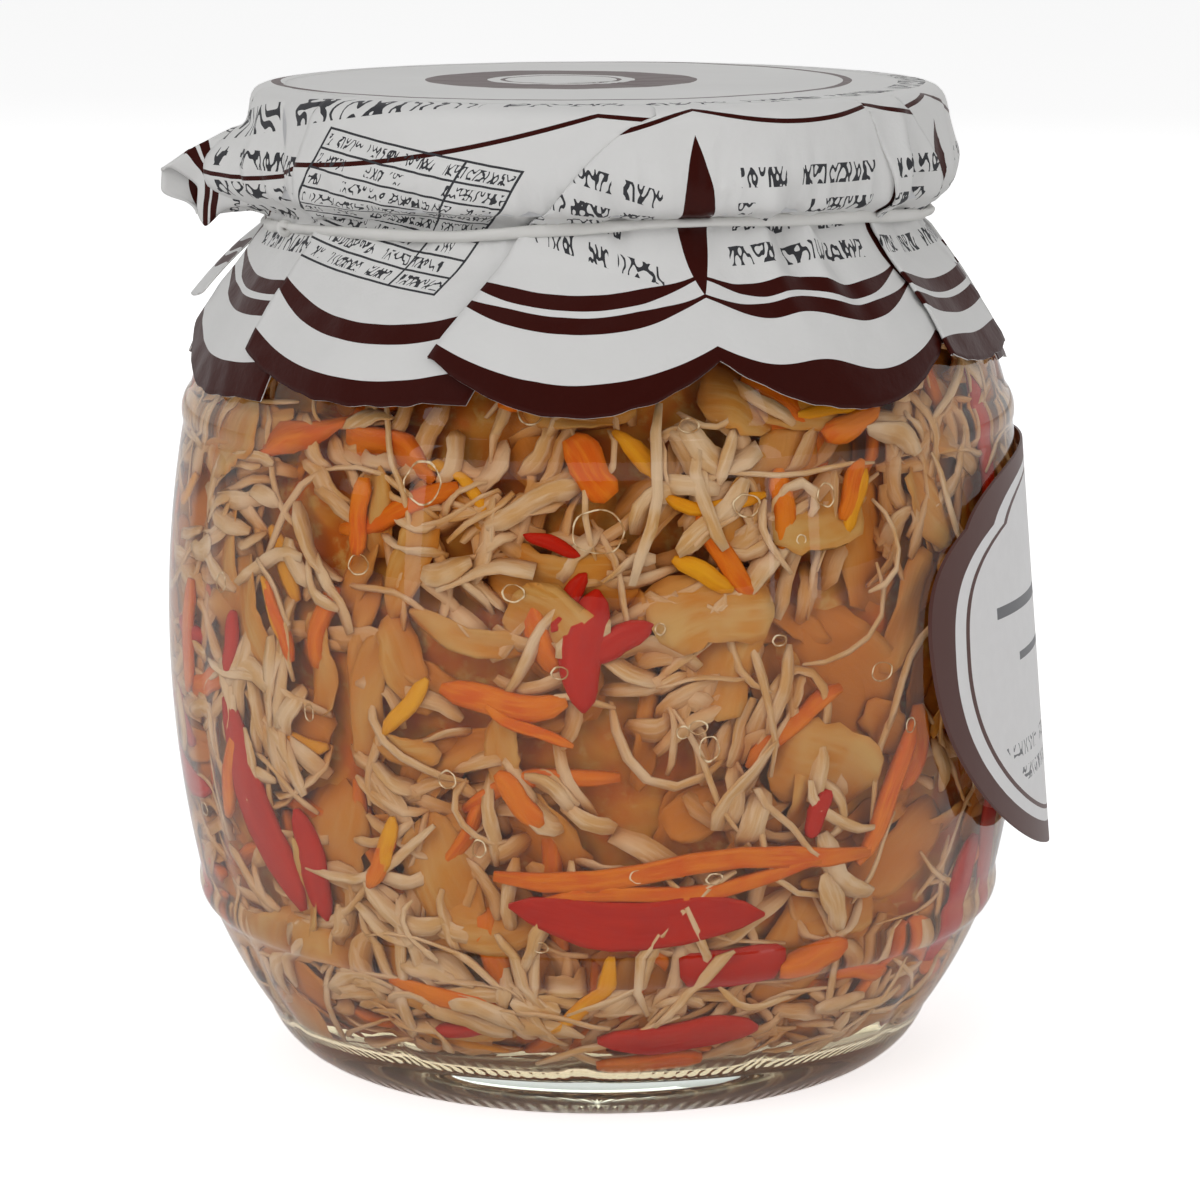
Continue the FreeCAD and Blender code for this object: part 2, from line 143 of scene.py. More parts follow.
def run(start, end, steps, bulge=0.0, middle=None):
    """Points of a line or arc of a profile, without its end. A positive bulge leans outwards."""
    start = np.array(start, float)
    end = np.array(end, float)
    share = np.linspace(0.0, 1.0, steps, endpoint=False)[:, None]
    if middle is None and bulge == 0.0:
        return [tuple(point) for point in start + (end - start) * share]
    if middle is None:
        chord = end - start
        outward = np.array((chord[1], -chord[0])) / np.linalg.norm(chord)
        middle = (start + end) / 2 + outward * bulge
    middle = np.array(middle, float)
    rows = 2 * np.array((middle - start, end - start))
    sums = np.array((middle @ middle - start @ start, end @ end - start @ start))
    centre = np.linalg.solve(rows, sums)
    radius = np.linalg.norm(start - centre)
    angles = [math.atan2(*(point - centre)[::-1]) for point in (start, middle, end)]
    first, through, last = angles
    if (through - first) % math.tau > (last - first) % math.tau:
        sweep = (last - first) % math.tau - math.tau
    else:
        sweep = (last - first) % math.tau
    turned = first + sweep * share[:, 0]
    return [(centre[0] + radius * math.cos(a), centre[1] + radius * math.sin(a)) for a in turned]


def inner_wall(inset=0.0, fine=1):
    """The inside of the glass from the floor to the brine's level, moved in by an inset."""
    heel_end = (HEEL_TOP[0] - WALL - inset, HEEL_TOP[1])
    belly = (BELLY[0] - WALL - inset, BELLY[1])
    shoulder = (SHOULDER_START[0] - WALL - inset, SHOULDER_START[1])
    shoulder_end = (SHOULDER_END[0] - 3.8 - inset, SHOULDER_END[1])
    neck = (NECK_RADIUS - WALL - inset, NECK_BOTTOM[1])
    floor_edge = (31.0 - inset / 2, BASE + inset)
    return (
        run(floor_edge, heel_end, 12 * fine, bulge=3.4)
        + run(heel_end, shoulder, 26 * fine, middle=belly)
        + run(shoulder, shoulder_end, 8 * fine, bulge=1.1)
        + run(shoulder_end, neck, 3 * fine)
        + run(neck, (neck[0], LEVEL), 3 * fine)
        + [(neck[0], LEVEL)]
    )


def fresh(name):
    """Names the new primitive."""
    piece = bpy.context.object
    piece.name = name
    piece.data.name = name
    return piece


def lathe(name, points, spins):
    """A surface swept about the jar's axis from a profile drawn point by point."""
    bpy.ops.object.select_all(action="DESELECT")
    start = Vector((points[0][0], 0.0, points[0][1])) * MM
    bpy.ops.mesh.primitive_plane_add(size=MM, location=start)
    piece = fresh(name)
    bpy.ops.object.mode_set(mode="EDIT")
    bpy.ops.mesh.merge(type="CENTER")
    for before, point in zip(points, points[1:]):
        step = Vector((point[0] - before[0], 0.0, point[1] - before[1])) * MM
        bpy.ops.mesh.extrude_vertices_move(TRANSFORM_OT_translate={"value": step})
    bpy.ops.mesh.select_all(action="SELECT")
    for steps, degrees in spins:
        bpy.ops.mesh.spin(steps=steps, angle=math.radians(degrees), center=(0, 0, 0), axis=(0, 0, 1))
    clean(LATHE_MERGE)
    bake_place()
    return piece


def bake_place():
    bpy.ops.object.transform_apply(location=True, rotation=True, scale=True)
    bpy.ops.object.shade_smooth()


def clean(merge=0.0):
    """Merges doubles of the active piece, if asked, and turns its faces outwards."""
    bpy.ops.object.mode_set(mode="EDIT")
    bpy.ops.mesh.select_all(action="SELECT")
    if merge > 0.0:
        bpy.ops.mesh.remove_doubles(threshold=merge)
    bpy.ops.mesh.normals_make_consistent(inside=False)
    bpy.ops.object.mode_set(mode="OBJECT")
    bpy.ops.object.shade_smooth()


def joined(pieces, name):
    bpy.ops.object.select_all(action="DESELECT")
    for piece in pieces:
        piece.select_set(True)
    bpy.context.view_layer.objects.active = pieces[0]
    bpy.ops.object.join()
    return fresh(name)


def wrapped_grid(name, columns, rows, place):
    """A grid whose points are put in place by their shares across and along."""
    bpy.ops.object.select_all(action="DESELECT")
    bpy.ops.mesh.primitive_grid_add(x_subdivisions=columns, y_subdivisions=rows, size=1.0)
    piece = fresh(name)
    for vertex in piece.data.vertices:
        vertex.co = place(vertex.co.x + 0.5, vertex.co.y + 0.5)
    return piece


def stave_spins(fine, coarse):
    """Spins that put narrow columns over each stave groove and wide ones between."""
    before = FIRST_STAVE - GROOVE_MARGIN
    gap = 360.0 / STAVES - 2 * GROOVE_MARGIN
    spins = [(coarse, before)]
    spins += [(fine, 2 * GROOVE_MARGIN), (coarse, gap)] * (STAVES - 1)
    return spins + [(fine, 2 * GROOVE_MARGIN), (max(2, coarse // 3), gap - before)]


class Bench:
    """Short ways to add and join the nodes of one material or group."""

    def __init__(self, tree):
        self.tree = tree

    def add(self, kind, **settings):
        node = self.tree.nodes.new(kind)
        for key, value in settings.items():
            setattr(node, key, value)
        return node

    def feed(self, socket, value):
        """Links or sets a socket. A colour is given by its red, green and blue."""
        if isinstance(value, bpy.types.NodeSocket):
            self.tree.links.new(value, socket)
        elif socket.type == "RGBA":
            socket.default_value = (*value, 1.0)
        else:
            socket.default_value = value

    def math(self, operation, *values):
        node = self.add("ShaderNodeMath", operation=operation)
        for socket, value in zip(node.inputs, values):
            self.feed(socket, value)
        return node.outputs[0]

    def chain(self, operation, values):
        """Puts values together two by two, from the left."""
        total = values[0]
        for value in values[1:]:
            total = self.math(operation, total, value)
        return total

    def times(self, *values):
        return self.chain("MULTIPLY", values)

    def plus(self, *values):
        return self.chain("ADD", values)

    def most(self, *values):
        return self.chain("MAXIMUM", values)

    def minus(self, first, second):
        return self.math("SUBTRACT", first, second)

    def ratio(self, first, second):
        return self.math("DIVIDE", first, second)

    def power(self, value, exponent):
        return self.math("POWER", value, exponent)

    def size(self, value):
        return self.math("ABSOLUTE", value)

    def under(self, value, limit):
        return self.math("LESS_THAN", value, limit)

    def over(self, value, limit):
        return self.math("GREATER_THAN", value, limit)

    def between(self, value, low, high):
        """1 where a value is over low and under high."""
        return self.times(self.over(value, low), self.under(value, high))

    def split(self, vector):
        """The three parts of a vector."""
        node = self.add("ShaderNodeSeparateXYZ")
        self.feed(node.inputs[0], vector)
        return node.outputs

    def combine(self, *parts):
        node = self.add("ShaderNodeCombineXYZ")
        for socket, part in zip(node.inputs, parts):
            self.feed(socket, part)
        return node.outputs[0]

    def attribute(self, name, output="Fac"):
        return self.add("ShaderNodeAttribute", attribute_name=name).outputs[output]

    def ramp(self, value, low, high, start=0.0, end=1.0):
        node = self.add("ShaderNodeMapRange", interpolation_type="SMOOTHSTEP")
        for socket, given in zip(node.inputs, (value, low, high, start, end)):
            self.feed(socket, given)
        return node.outputs[0]

    def blend(self, share, first, second, way="MIX"):
        node = self.add("ShaderNodeMix", data_type="RGBA", blend_type=way)
        self.feed(node.inputs[0], share)
        self.feed(node.inputs[6], first)
        self.feed(node.inputs[7], second)
        return node.outputs[2]

    def noise(self, place, scale, detail=2.0, roughness=0.5):
        node = self.add("ShaderNodeTexNoise")
        self.feed(node.inputs["Vector"], place)
        self.feed(node.inputs["Scale"], scale)
        self.feed(node.inputs["Detail"], detail)
        self.feed(node.inputs["Roughness"], roughness)
        return node.outputs["Fac"]

    def bump(self, height, strength, distance):
        node = self.add("ShaderNodeBump")
        self.feed(node.inputs["Strength"], strength)
        self.feed(node.inputs["Distance"], distance)
        self.feed(node.inputs["Height"], height)
        return node.outputs["Normal"]

    def group(self, tree, **given):
        node = self.add("ShaderNodeGroup", node_tree=tree)
        for name, value in given.items():
            self.feed(node.inputs[name.replace("_", " ")], value)
        return node


def material(name):
    made = bpy.data.materials.new(name)
    made.use_nodes = True
    made.node_tree.nodes.clear()
    return made, Bench(made.node_tree)


def node_group(name, inputs, outputs):
    tree = bpy.data.node_groups.new(name, "ShaderNodeTree")
    for kind, sockets in (("INPUT", inputs), ("OUTPUT", outputs)):
        for label, socket in sockets:
            tree.interface.new_socket(label, in_out=kind, socket_type=socket)
    bench = Bench(tree)
    return tree, bench, bench.add("NodeGroupInput").outputs, bench.add("NodeGroupOutput").inputs


def shader(bench, colour, roughness, normal=None, **fixed):
    """The Principled shader of a material, with its fixed values on its own sockets."""
    surface = bench.add("ShaderNodeBsdfPrincipled")
    bench.feed(surface.inputs["Base Color"], colour)
    bench.feed(surface.inputs["Roughness"], roughness)
    if normal is not None:
        bench.feed(surface.inputs["Normal"], normal)
    for label, value in fixed.items():
        bench.feed(surface.inputs[label.replace("_", " ")], value)
    return surface.outputs[0]


def finish_material(made, bench, surface):
    output = bench.add("ShaderNodeOutputMaterial")
    bench.feed(output.inputs["Surface"], surface)
    return made


def object_place(bench):
    return bench.add("ShaderNodeTexCoord").outputs["Object"]


def clear_material(name, tint, ior, roughness, normal_of=None, mirror=1.0, foot=None):
    """Something clear that refracts. With a foot colour the glass is greener low down, where it is thick."""
    made, bench = material(name)
    normal = normal_of(bench) if normal_of else None
    if foot:
        parts = bench.split(object_place(bench))
        tint = bench.blend(bench.ramp(parts[2], 0.003, 0.008, 1.0, 0.0), tint, foot)
    body = shader(
        bench, tint, roughness, normal, IOR=ior,
        Transmission_Weight=1.0, Specular_Tint=(mirror, mirror, mirror),
    )
    return finish_material(made, bench, body)


def let_light_in(piece):
    """Light reaches the contents straight through this piece."""
    piece.visible_shadow = False
    piece.visible_diffuse = False


def dress(piece, made, slot, *nodes):
    piece.data.materials.clear()
    piece.data.materials.append(made)
    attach(piece, "root")
    if nodes:
        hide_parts(*nodes)


# ---- Mottling shared by the vegetables ----

mottle, bench, given, result = node_group(
    "mottle",
    [
        ("Place", "NodeSocketVector"), ("Scale", "NodeSocketFloat"),
        ("Light", "NodeSocketColor"), ("Dark", "NodeSocketColor"),
    ],
    [("Colour", "NodeSocketColor"), ("Height", "NodeSocketFloat")],
)
grain = bench.noise(given["Place"], given["Scale"], 2.0, 0.6)
bench.feed(result["Colour"], bench.blend(bench.ramp(grain, 0.36, 0.66), given["Dark"], given["Light"]))
bench.feed(result["Height"], grain)


def vegetable_material(name, light, dark, brine_shade, fibre, roughness, brine_shade_share=0.9):
    """Cut vegetable: fibres along each strip, and painted shade: thin edges and deeper parts take the brine's
    amber, browner the deeper it lies.
    """
    made, bench = material(name)
    place = object_place(bench)
    along = bench.attribute("fibre", "Vector")
    streaks = bench.noise(along, fibre, 2.0, 0.65)
    patch = bench.group(mottle, Place=place, Scale=170.0, Light=light, Dark=dark)
    depth = bench.attribute("depth")
    lot = bench.attribute("lot")
    rim = bench.attribute("rim")
    own = bench.blend(bench.ramp(lot, 0.0, 1.0, 0.0, 0.6), patch.outputs["Colour"], dark)
    own = bench.blend(bench.ramp(streaks, 0.42, 0.66, 0.0, 0.75), own, light)
    # Painted shade: the brine's amber darkens the parts that lie deeper and the thin edges of each strip.
    depth_shade = bench.ramp(depth, 0.02, 0.75, 0.0, brine_shade_share)
    thin = bench.times(bench.ramp(rim, 0.72, 1.0, 0.0, 0.4), brine_shade_share)
    colour = bench.blend(bench.most(depth_shade, thin), own, brine_shade)
    height = bench.plus(streaks, bench.times(patch.outputs["Height"], 0.5))
    surface = shader(bench, colour, roughness, bench.bump(height, 0.5, 0.0003), Specular_IOR_Level=0.12)
    return finish_material(made, bench, surface)


# ---- Glass ----

def glass_ripples(bench):
    """Knurling under the heel and a faint waviness of the walls."""
    place = object_place(bench)
    parts = bench.split(place)
    turn = bench.math("ARCTAN2", parts[1], parts[0])
    teeth = bench.math("SINE", bench.times(turn, 128.0))
    low = bench.ramp(parts[2], 0.0016, 0.0026, 1.0, 0.0)
    wave = bench.noise(place, 45.0, 1.0)
    height = bench.plus(bench.times(teeth, low), bench.times(wave, 0.35))
    return bench.bump(height, 0.4, 0.0003)


def make_glass():
    outer = (
        [(0.0, 1.6)]
        + run((9.0, 1.6), (27.0, 1.6), 4)
        + run((27.0, 1.6), (31.0, 0.0), 4, bulge=0.4)
        + run((31.0, 0.0), BEARING_EDGE, 2)
        + run(BEARING_EDGE, HEEL_LOW, 9, bulge=1.5)
        + run(HEEL_LOW, HEEL_TOP, 16, bulge=0.4)
        + run(HEEL_TOP, BELLY_START, 8, bulge=0.85)
        + run(BELLY_START, BELLY_END, 60, middle=BELLY)
        + run(BELLY_END, SHOULDER_START, 8, bulge=0.6)
        + run(SHOULDER_START, SHOULDER_END, 12, bulge=1.1)
        + run(SHOULDER_END, NECK_BOTTOM, 5, bulge=-0.6)
        + run(NECK_BOTTOM, (NECK_RADIUS, JAR_HEIGHT - 1.0), 3)
        + run((NECK_RADIUS, JAR_HEIGHT - 1.0), (NECK_RADIUS - 1.0, JAR_HEIGHT), 3, bulge=0.3)
        + [(NECK_RADIUS - 1.0, JAR_HEIGHT), (NECK_RADIUS - WALL, JAR_HEIGHT)]
    )
    inside = inner_wall()[::-1] + [(20.0, BASE), (9.0, BASE), (0.0, BASE)]
    piece = lathe("clear_glass", outer + inside, stave_spins(14, 12))
    cutter = (GROOVE_WIDTH**2 / 4 + GROOVE_DEPTH**2) / (2 * GROOVE_DEPTH)
    for vertex in piece.data.vertices:
        x, y, z = (value / MM for value in vertex.co)
        radius = math.hypot(x, y)
        if z < 6.5 or z > 80.0 or radius < 38.0:
            continue
        inner = np.interp(z, WALL_HEIGHTS, WALL_RADII)
        if radius - inner < 1.5:
            continue
        turn = math.degrees(math.atan2(y, x)) - FIRST_STAVE
        pitch = 360.0 / STAVES
        aside = math.radians((turn + pitch / 2) % pitch - pitch / 2) * radius
        for low, high in GROOVES:
            beyond = max(low - z, z - high, 0.0)
            apart = math.hypot(aside, beyond)
            if apart < GROOVE_WIDTH / 2:
                sink = math.sqrt(cutter**2 - apart**2) - (cutter - GROOVE_DEPTH)
                vertex.co.x *= (radius - sink) / radius
                vertex.co.y *= (radius - sink) / radius
    made = clear_material(
        "clear_glass", (0.975, 0.995, 0.98), 1.5, 0.015, glass_ripples, 0.75, (0.80, 0.90, 0.80)
    )
    dress(piece, made, "jar_glass", "glass_jar")
    let_light_in(piece)
    wetted = clear_material("wetted_glass", (0.985, 0.995, 0.985), 1.5, 0.0, mirror=0.04)
    piece.data.materials.append(wetted)
    for face in piece.data.polygons:
        radius = math.hypot(face.center.x, face.center.y) / MM
        height = face.center.z / MM
        inner = float(np.interp(height, WALL_HEIGHTS, WALL_RADII))
        inside = BASE - 0.3 < height < LEVEL and radius < inner + 0.6
        face.material_index = 1 if inside else 0
    return piece


# ---- Brine and the vegetables ----

WALL_POINTS = np.array([(16.0, BASE), (24.0, BASE)] + inner_wall(0.0, 3))
WALL_ALONG = np.concatenate(([0.0], np.cumsum(np.linalg.norm(np.diff(WALL_POINTS, axis=0), axis=1))))
WALL_SLOPE = np.gradient(WALL_POINTS, WALL_ALONG, axis=0)
WALL_RADII = WALL_POINTS[:, 0]
WALL_HEIGHTS = WALL_POINTS[:, 1] + np.arange(len(WALL_POINTS)) * 1e-6
WALL_END = float(WALL_ALONG[-1])


def on_wall(along, turn, depth):
    """Points in metres that lie a depth inside the glass's inner wall."""
    along = np.clip(along, 0.0, WALL_END)
    radius = np.interp(along, WALL_ALONG, WALL_RADII)
    height = np.interp(along, WALL_ALONG, WALL_POINTS[:, 1])
    slope_r = np.interp(along, WALL_ALONG, WALL_SLOPE[:, 0])
    slope_z = np.interp(along, WALL_ALONG, WALL_SLOPE[:, 1])
    steep = np.hypot(slope_r, slope_z) + 1e-9
    radius = radius - depth * slope_z / steep
    height = height + depth * slope_r / steep
    angle = np.radians(turn)
    return np.stack((radius * np.cos(angle), radius * np.sin(angle), height), axis=-1) * MM


def make_brine():
    floor = BASE - BRINE_OVERLAP
    profile = [(0.0, floor)] + run((10.0, floor), (31.0, floor), 2)
    profile += inner_wall(-BRINE_OVERLAP) + [(20.0, LEVEL), (0.0, LEVEL)]
    piece = lathe("brine", profile, [(120, 360.0)])
    made = clear_material("brine", (1.0, 0.86, 0.60), 1.33, 0.0, mirror=0.04)
    dress(piece, made, "salad", "salad")
    let_light_in(piece)
    return piece


def make_core():
    profile = [(0.0, BASE + 3.0)] + run((8.0, BASE + 3.0), (28.0, BASE + 3.0), 5)
    top = LEVEL - 5.0
    profile += inner_wall(CORE_INSET, 2)[:-7] + run((30.0, top), (0.0, top), 6) + [(0.0, top)]
    piece = lathe("salad_heart", profile, [(200, 360.0)])
    for vertex in piece.data.vertices:
        place = vertex.co / MM
        lump = noise.fractal(place / 5.5, 0.7, 2.1, 4)
        tuft = noise.noise(place / 1.7)
        radius = max(1.0, math.hypot(place.x, place.y))
        push = 1.5 * lump + 0.35 * tuft
        vertex.co.x *= (radius + push) / radius
        vertex.co.y *= (radius + push) / radius
    made, bench = material("salad_heart")
    place = object_place(bench)
    # The heart stands for the vegetables deep in the jar; its dark amber colours are painted shade of the
    # brine over their own colour.
    patch = bench.group(
        mottle, Place=place, Scale=150.0, Light=(0.56, 0.22, 0.030), Dark=(0.50, 0.11, 0.006)
    )
    streak = bench.noise(place, 420.0, 3.0, 0.6)
    colour = bench.blend(bench.ramp(streak, 0.5, 0.72), patch.outputs["Colour"], (0.58, 0.30, 0.08))
    normal = bench.bump(patch.outputs["Height"], 0.5, 0.001)
    surface = shader(bench, colour, 0.5, normal, Specular_IOR_Level=0.1)
    dress(piece, finish_material(made, bench, surface), "salad", "salad")
    return piece


def strips(name, cuts, rings, sides, made, square=2.0):
    """Joined strips of vegetable that follow the wall. Each cut is a dict of its own sizes."""
    count = len(cuts)
    rng = np.random.default_rng(count)

    def column(key):
        return np.array([cut[key] for cut in cuts], float)[:, None]

    share = np.linspace(-1.0, 1.0, rings)[None, :]
    length = column("length")
    heading = np.radians(column("heading")) + column("curl") * share
    heading = heading + 0.16 * np.sin(share * 4.0 + rng.uniform(0, 6.3, (count, 1)))
    step = length / (rings - 1)
    east = np.cumsum(np.cos(heading) * step, axis=1)
    north = np.cumsum(np.sin(heading) * step, axis=1)
    east -= east.mean(axis=1, keepdims=True)
    north -= north.mean(axis=1, keepdims=True)
    body = np.clip(1.0 - np.abs(share)**column("taper"), 0.0, 1.0)**0.6
    body = column("tip") + (1 - column("tip")) * body
    ragged = 1.0 + column("ragged") * rng.uniform(-1.0, 1.0, (count, rings))
    half = column("width") / 2 * body * ragged
    thick = column("thick") / 2 * (0.5 + 0.5 * body)
    depth = column("depth") + column("bow") * share**2
    roll = np.radians(column("roll") + column("twist") * share)
    turn = column("turn")
    along = np.interp(column("height"), WALL_HEIGHTS, WALL_ALONG)
    radius = np.interp(np.clip(along + north, 0, WALL_END), WALL_ALONG, WALL_RADII)
    angles = np.linspace(0.0, math.tau, sides, endpoint=False) + math.pi / sides
    cosine = np.sign(np.cos(angles)) * np.abs(np.cos(angles))**(2 / square)
    sine = np.sign(np.sin(angles)) * np.abs(np.sin(angles))**(2 / square)
    across = half[:, :, None] * cosine
    out = thick[:, :, None] * sine
    start = rng.uniform(0, 6.3, (count, 1, 1))
    wave = column("wave")[:, :, None] * np.sin(cosine * 2.6 + share[:, :, None] * 3.5 + start)
    aside = across * np.cos(roll)[:, :, None] - out * np.sin(roll)[:, :, None]
    deeper = across * np.sin(roll)[:, :, None] + out * np.cos(roll)[:, :, None] + wave
    place_east = east[:, :, None] - np.sin(heading)[:, :, None] * aside
    place_north = north[:, :, None] + np.cos(heading)[:, :, None] * aside
    place_depth = np.maximum(depth[:, :, None] + deeper, 0.1 + 0.02 * (out < 0))
    place_turn = turn[:, :, None] + np.degrees(place_east / radius[:, :, None])
    points = on_wall(along[:, :, None] + place_north, place_turn, place_depth).reshape(-1, 3)
    ring = np.arange(sides)
    following = (ring + 1) % sides
    first = (np.arange(rings - 1) * sides)[:, None]
    corners = (first + ring, first + following, first + sides + following, first + sides + ring)
    quads = np.stack(corners, axis=-1).reshape(-1, 4)
    size = rings * sides
    faces = []
    caps = (list(range(sides))[::-1], list(range(size - sides, size)))
    for number in range(count):
        offset = number * size
        faces.extend((quads + offset).tolist())
        faces.extend([[index + offset for index in cap] for cap in caps])
    mesh = bpy.data.meshes.new(name)
    mesh.from_pydata(points.tolist(), [], faces)
    piece = bpy.data.objects.new(name, mesh)
    bpy.context.scene.collection.objects.link(piece)
    bpy.ops.object.select_all(action="DESELECT")
    bpy.context.view_layer.objects.active = piece
    piece.select_set(True)
    clean()
    shown_depth = np.clip(place_depth / CORE_INSET, 0.0, 1.0).reshape(-1)
    own_lot = rng.uniform(0.0, 1.0, count)
    lots = np.repeat(own_lot, size)
    rims = np.broadcast_to(np.abs(cosine), place_depth.shape).reshape(-1)
    for label, values in (("depth", shown_depth), ("lot", lots), ("rim", rims)):
        layer = mesh.attributes.new(label, "FLOAT", "POINT")
        layer.data.foreach_set("value", values.astype(np.float32))
    length_place = np.broadcast_to((share * length / 2)[:, :, None] * 0.12, place_depth.shape)
    lot_place = np.broadcast_to(own_lot[:, None, None] * 90.0, place_depth.shape)
    fibres = np.stack((length_place, across, lot_place), axis=-1).reshape(-1)
    layer = mesh.attributes.new("fibre", "FLOAT_VECTOR", "POINT")
    layer.data.foreach_set("vector", fibres.astype(np.float32))
    dress(piece, made, "salad", "salad")
    return piece


def cut(turn, height, heading, length, width, thick, depth, **more):
    """One strip: where its middle lies, how it points, and its size."""
    made = dict(
        turn=turn + FRONT_TURN, height=height, heading=heading, length=length, width=width, thick=thick,
        depth=depth, curl=0.0, bow=0.0, roll=0.0, twist=0.0, taper=3.0, tip=0.35, ragged=0.06, wave=0.0,
    )
    made.update(more)
    return made


def random_place(rng, low=8.0, high=106.0):
    """A turn and a height spread evenly over the inner wall."""
    along = rng.uniform(np.interp(low, WALL_HEIGHTS, WALL_ALONG), np.interp(high, WALL_HEIGHTS, WALL_ALONG))
    return rng.uniform(-180.0, 180.0), float(np.interp(along, WALL_ALONG, WALL_HEIGHTS))


def cabbage_cuts():
    rng = random.Random(11)
    cuts = []
    for cluster in range(320):
        turn, height = random_place(rng)
        heading = rng.uniform(-85.0, 85.0)
        spread = rng.uniform(10.0, 36.0)
        long = rng.uniform(0.75, 1.25)
        level = rng.uniform(0.2, 2.0)
        for shred in range(rng.randint(4, 8)):
            cuts.append(cut(
                turn + rng.gauss(0, 5.0), min(106.0, max(8.0, height + rng.gauss(0, 3.6))),
                heading + rng.gauss(0, spread), long * rng.uniform(5.5, 13.0), rng.uniform(1.5, 3.4),
                rng.uniform(0.5, 0.9), level + rng.uniform(0.0, 1.2), curl=rng.gauss(0, 0.4),
                bow=rng.uniform(-0.3, 1.8), roll=rng.gauss(0, 28), twist=rng.gauss(0, 22),
                taper=rng.uniform(3.0, 7.0), tip=rng.uniform(0.35, 0.75), ragged=0.14,
            ))
    for strand in range(240):
        turn, height = random_place(rng)
        cuts.append(cut(
            turn, height, rng.uniform(-90, 90), rng.uniform(9.0, 24.0), rng.uniform(0.8, 1.5),
            rng.uniform(0.5, 0.8), rng.uniform(0.2, 2.0), curl=rng.gauss(0, 0.7), bow=rng.uniform(-0.2, 1.4),
            roll=rng.gauss(0, 30), twist=rng.gauss(0, 30), taper=4.0, tip=0.45,
        ))
    cuts.append(cut(7.0, 77.0, 80.0, 21.0, 1.5, 0.9, 0.3, curl=0.12, tip=0.6))
    return cuts


def leaf_cuts():
    rng = random.Random(23)
    cuts = []
    for leaf in range(380):
        turn, height = random_place(rng)
        wide = rng.random() < 0.45
        cuts.append(cut(
            turn, height, rng.uniform(-90, 90), rng.uniform(10.0, 20.0) if wide else rng.uniform(8.0, 17.0),
            rng.uniform(7.0, 12.0) if wide else rng.uniform(3.2, 6.0), rng.uniform(0.4, 0.8),
            rng.uniform(1.2, 4.4), curl=rng.gauss(0, 0.25), bow=rng.uniform(-0.4, 1.6),
            roll=rng.gauss(0, 12), twist=rng.gauss(0, 9), taper=rng.uniform(2.4, 6.0),
            tip=rng.uniform(0.3, 0.6), ragged=0.12, wave=rng.uniform(0.2, 0.7),
        ))
    return cuts


def carrot_cuts():
    """Carrot strips: the ones that show at the front, then the rest all round."""
    rng = random.Random(5)
    cuts = [
        cut(13.0, 33.4, 2.0, 46.0, 2.6, 1.9, 0.25, taper=6.0, tip=0.5),
        cut(12.0, 31.2, 5.0, 34.0, 1.9, 1.6, 0.7, taper=6.0, tip=0.4),
        cut(-33.5, 73.5, 88.0, 9.0, 2.6, 1.8, 0.4, tip=0.5, taper=5.0),
        cut(-12.5, 53.5, -8.0, 15.0, 3.4, 1.8, 1.2, curl=0.3),
        cut(-9.0, 50.5, -24.0, 11.0, 1.4, 1.2, 0.4, curl=0.2),
        cut(-1.0, 80.0, -55.0, 8.0, 4.4, 1.8, 1.0, tip=0.5),
        cut(9.0, 8.5, 8.0, 12.0, 3.4, 1.8, 0.5),
        cut(38.0, 83.5, 20.0, 9.0, 3.4, 1.8, 1.0),
        cut(43.0, 40.0, 66.0, 18.0, 2.8, 1.8, 0.9, curl=0.2),
        cut(-72.0, 55.0, 84.0, 14.0, 3.2, 1.8, 0.6),
        cut(-60.0, 40.0, 70.0, 12.0, 2.6, 1.8, 0.9),
        cut(-10.5, 42.0, -52.0, 8.0, 2.8, 1.6, 0.8),
        cut(-31.0, 33.0, 60.0, 8.0, 2.2, 1.4, 0.8),
        cut(36.5, 76.5, 66.0, 8.0, 2.4, 1.6, 0.7),
        cut(17.0, 70.0, -60.0, 12.0, 2.6, 1.6, 1.4, curl=0.3),
        cut(-47.0, 60.0, -62.0, 10.0, 2.0, 1.6, 0.8),
        cut(25.5, 75.0, 90.0, 10.0, 2.8, 1.6, 1.4),
        cut(-24.0, 17.0, -12.0, 14.0, 3.0, 1.6, 1.4),
        cut(33.0, 21.0, 10.0, 9.0, 2.2, 1.5, 0.8),
        cut(-8.0, 87.5, 4.0, 10.0, 3.0, 1.6, 1.0),
    ]
    for strip in range(135):
        turn, height = random_place(rng)
        front = abs(turn) < 70.0
        cuts.append(cut(
            turn, height, rng.uniform(-90, 90), rng.uniform(6.0, 20.0), rng.uniform(1.7, 3.2),
            rng.uniform(1.2, 1.8), rng.uniform(1.5, 3.6) if front else rng.uniform(0.4, 3.4),
            curl=rng.gauss(0, 0.22), bow=rng.uniform(-0.2, 1.0), roll=rng.gauss(0, 20), taper=5.0, tip=0.5,
        ))
    return cuts


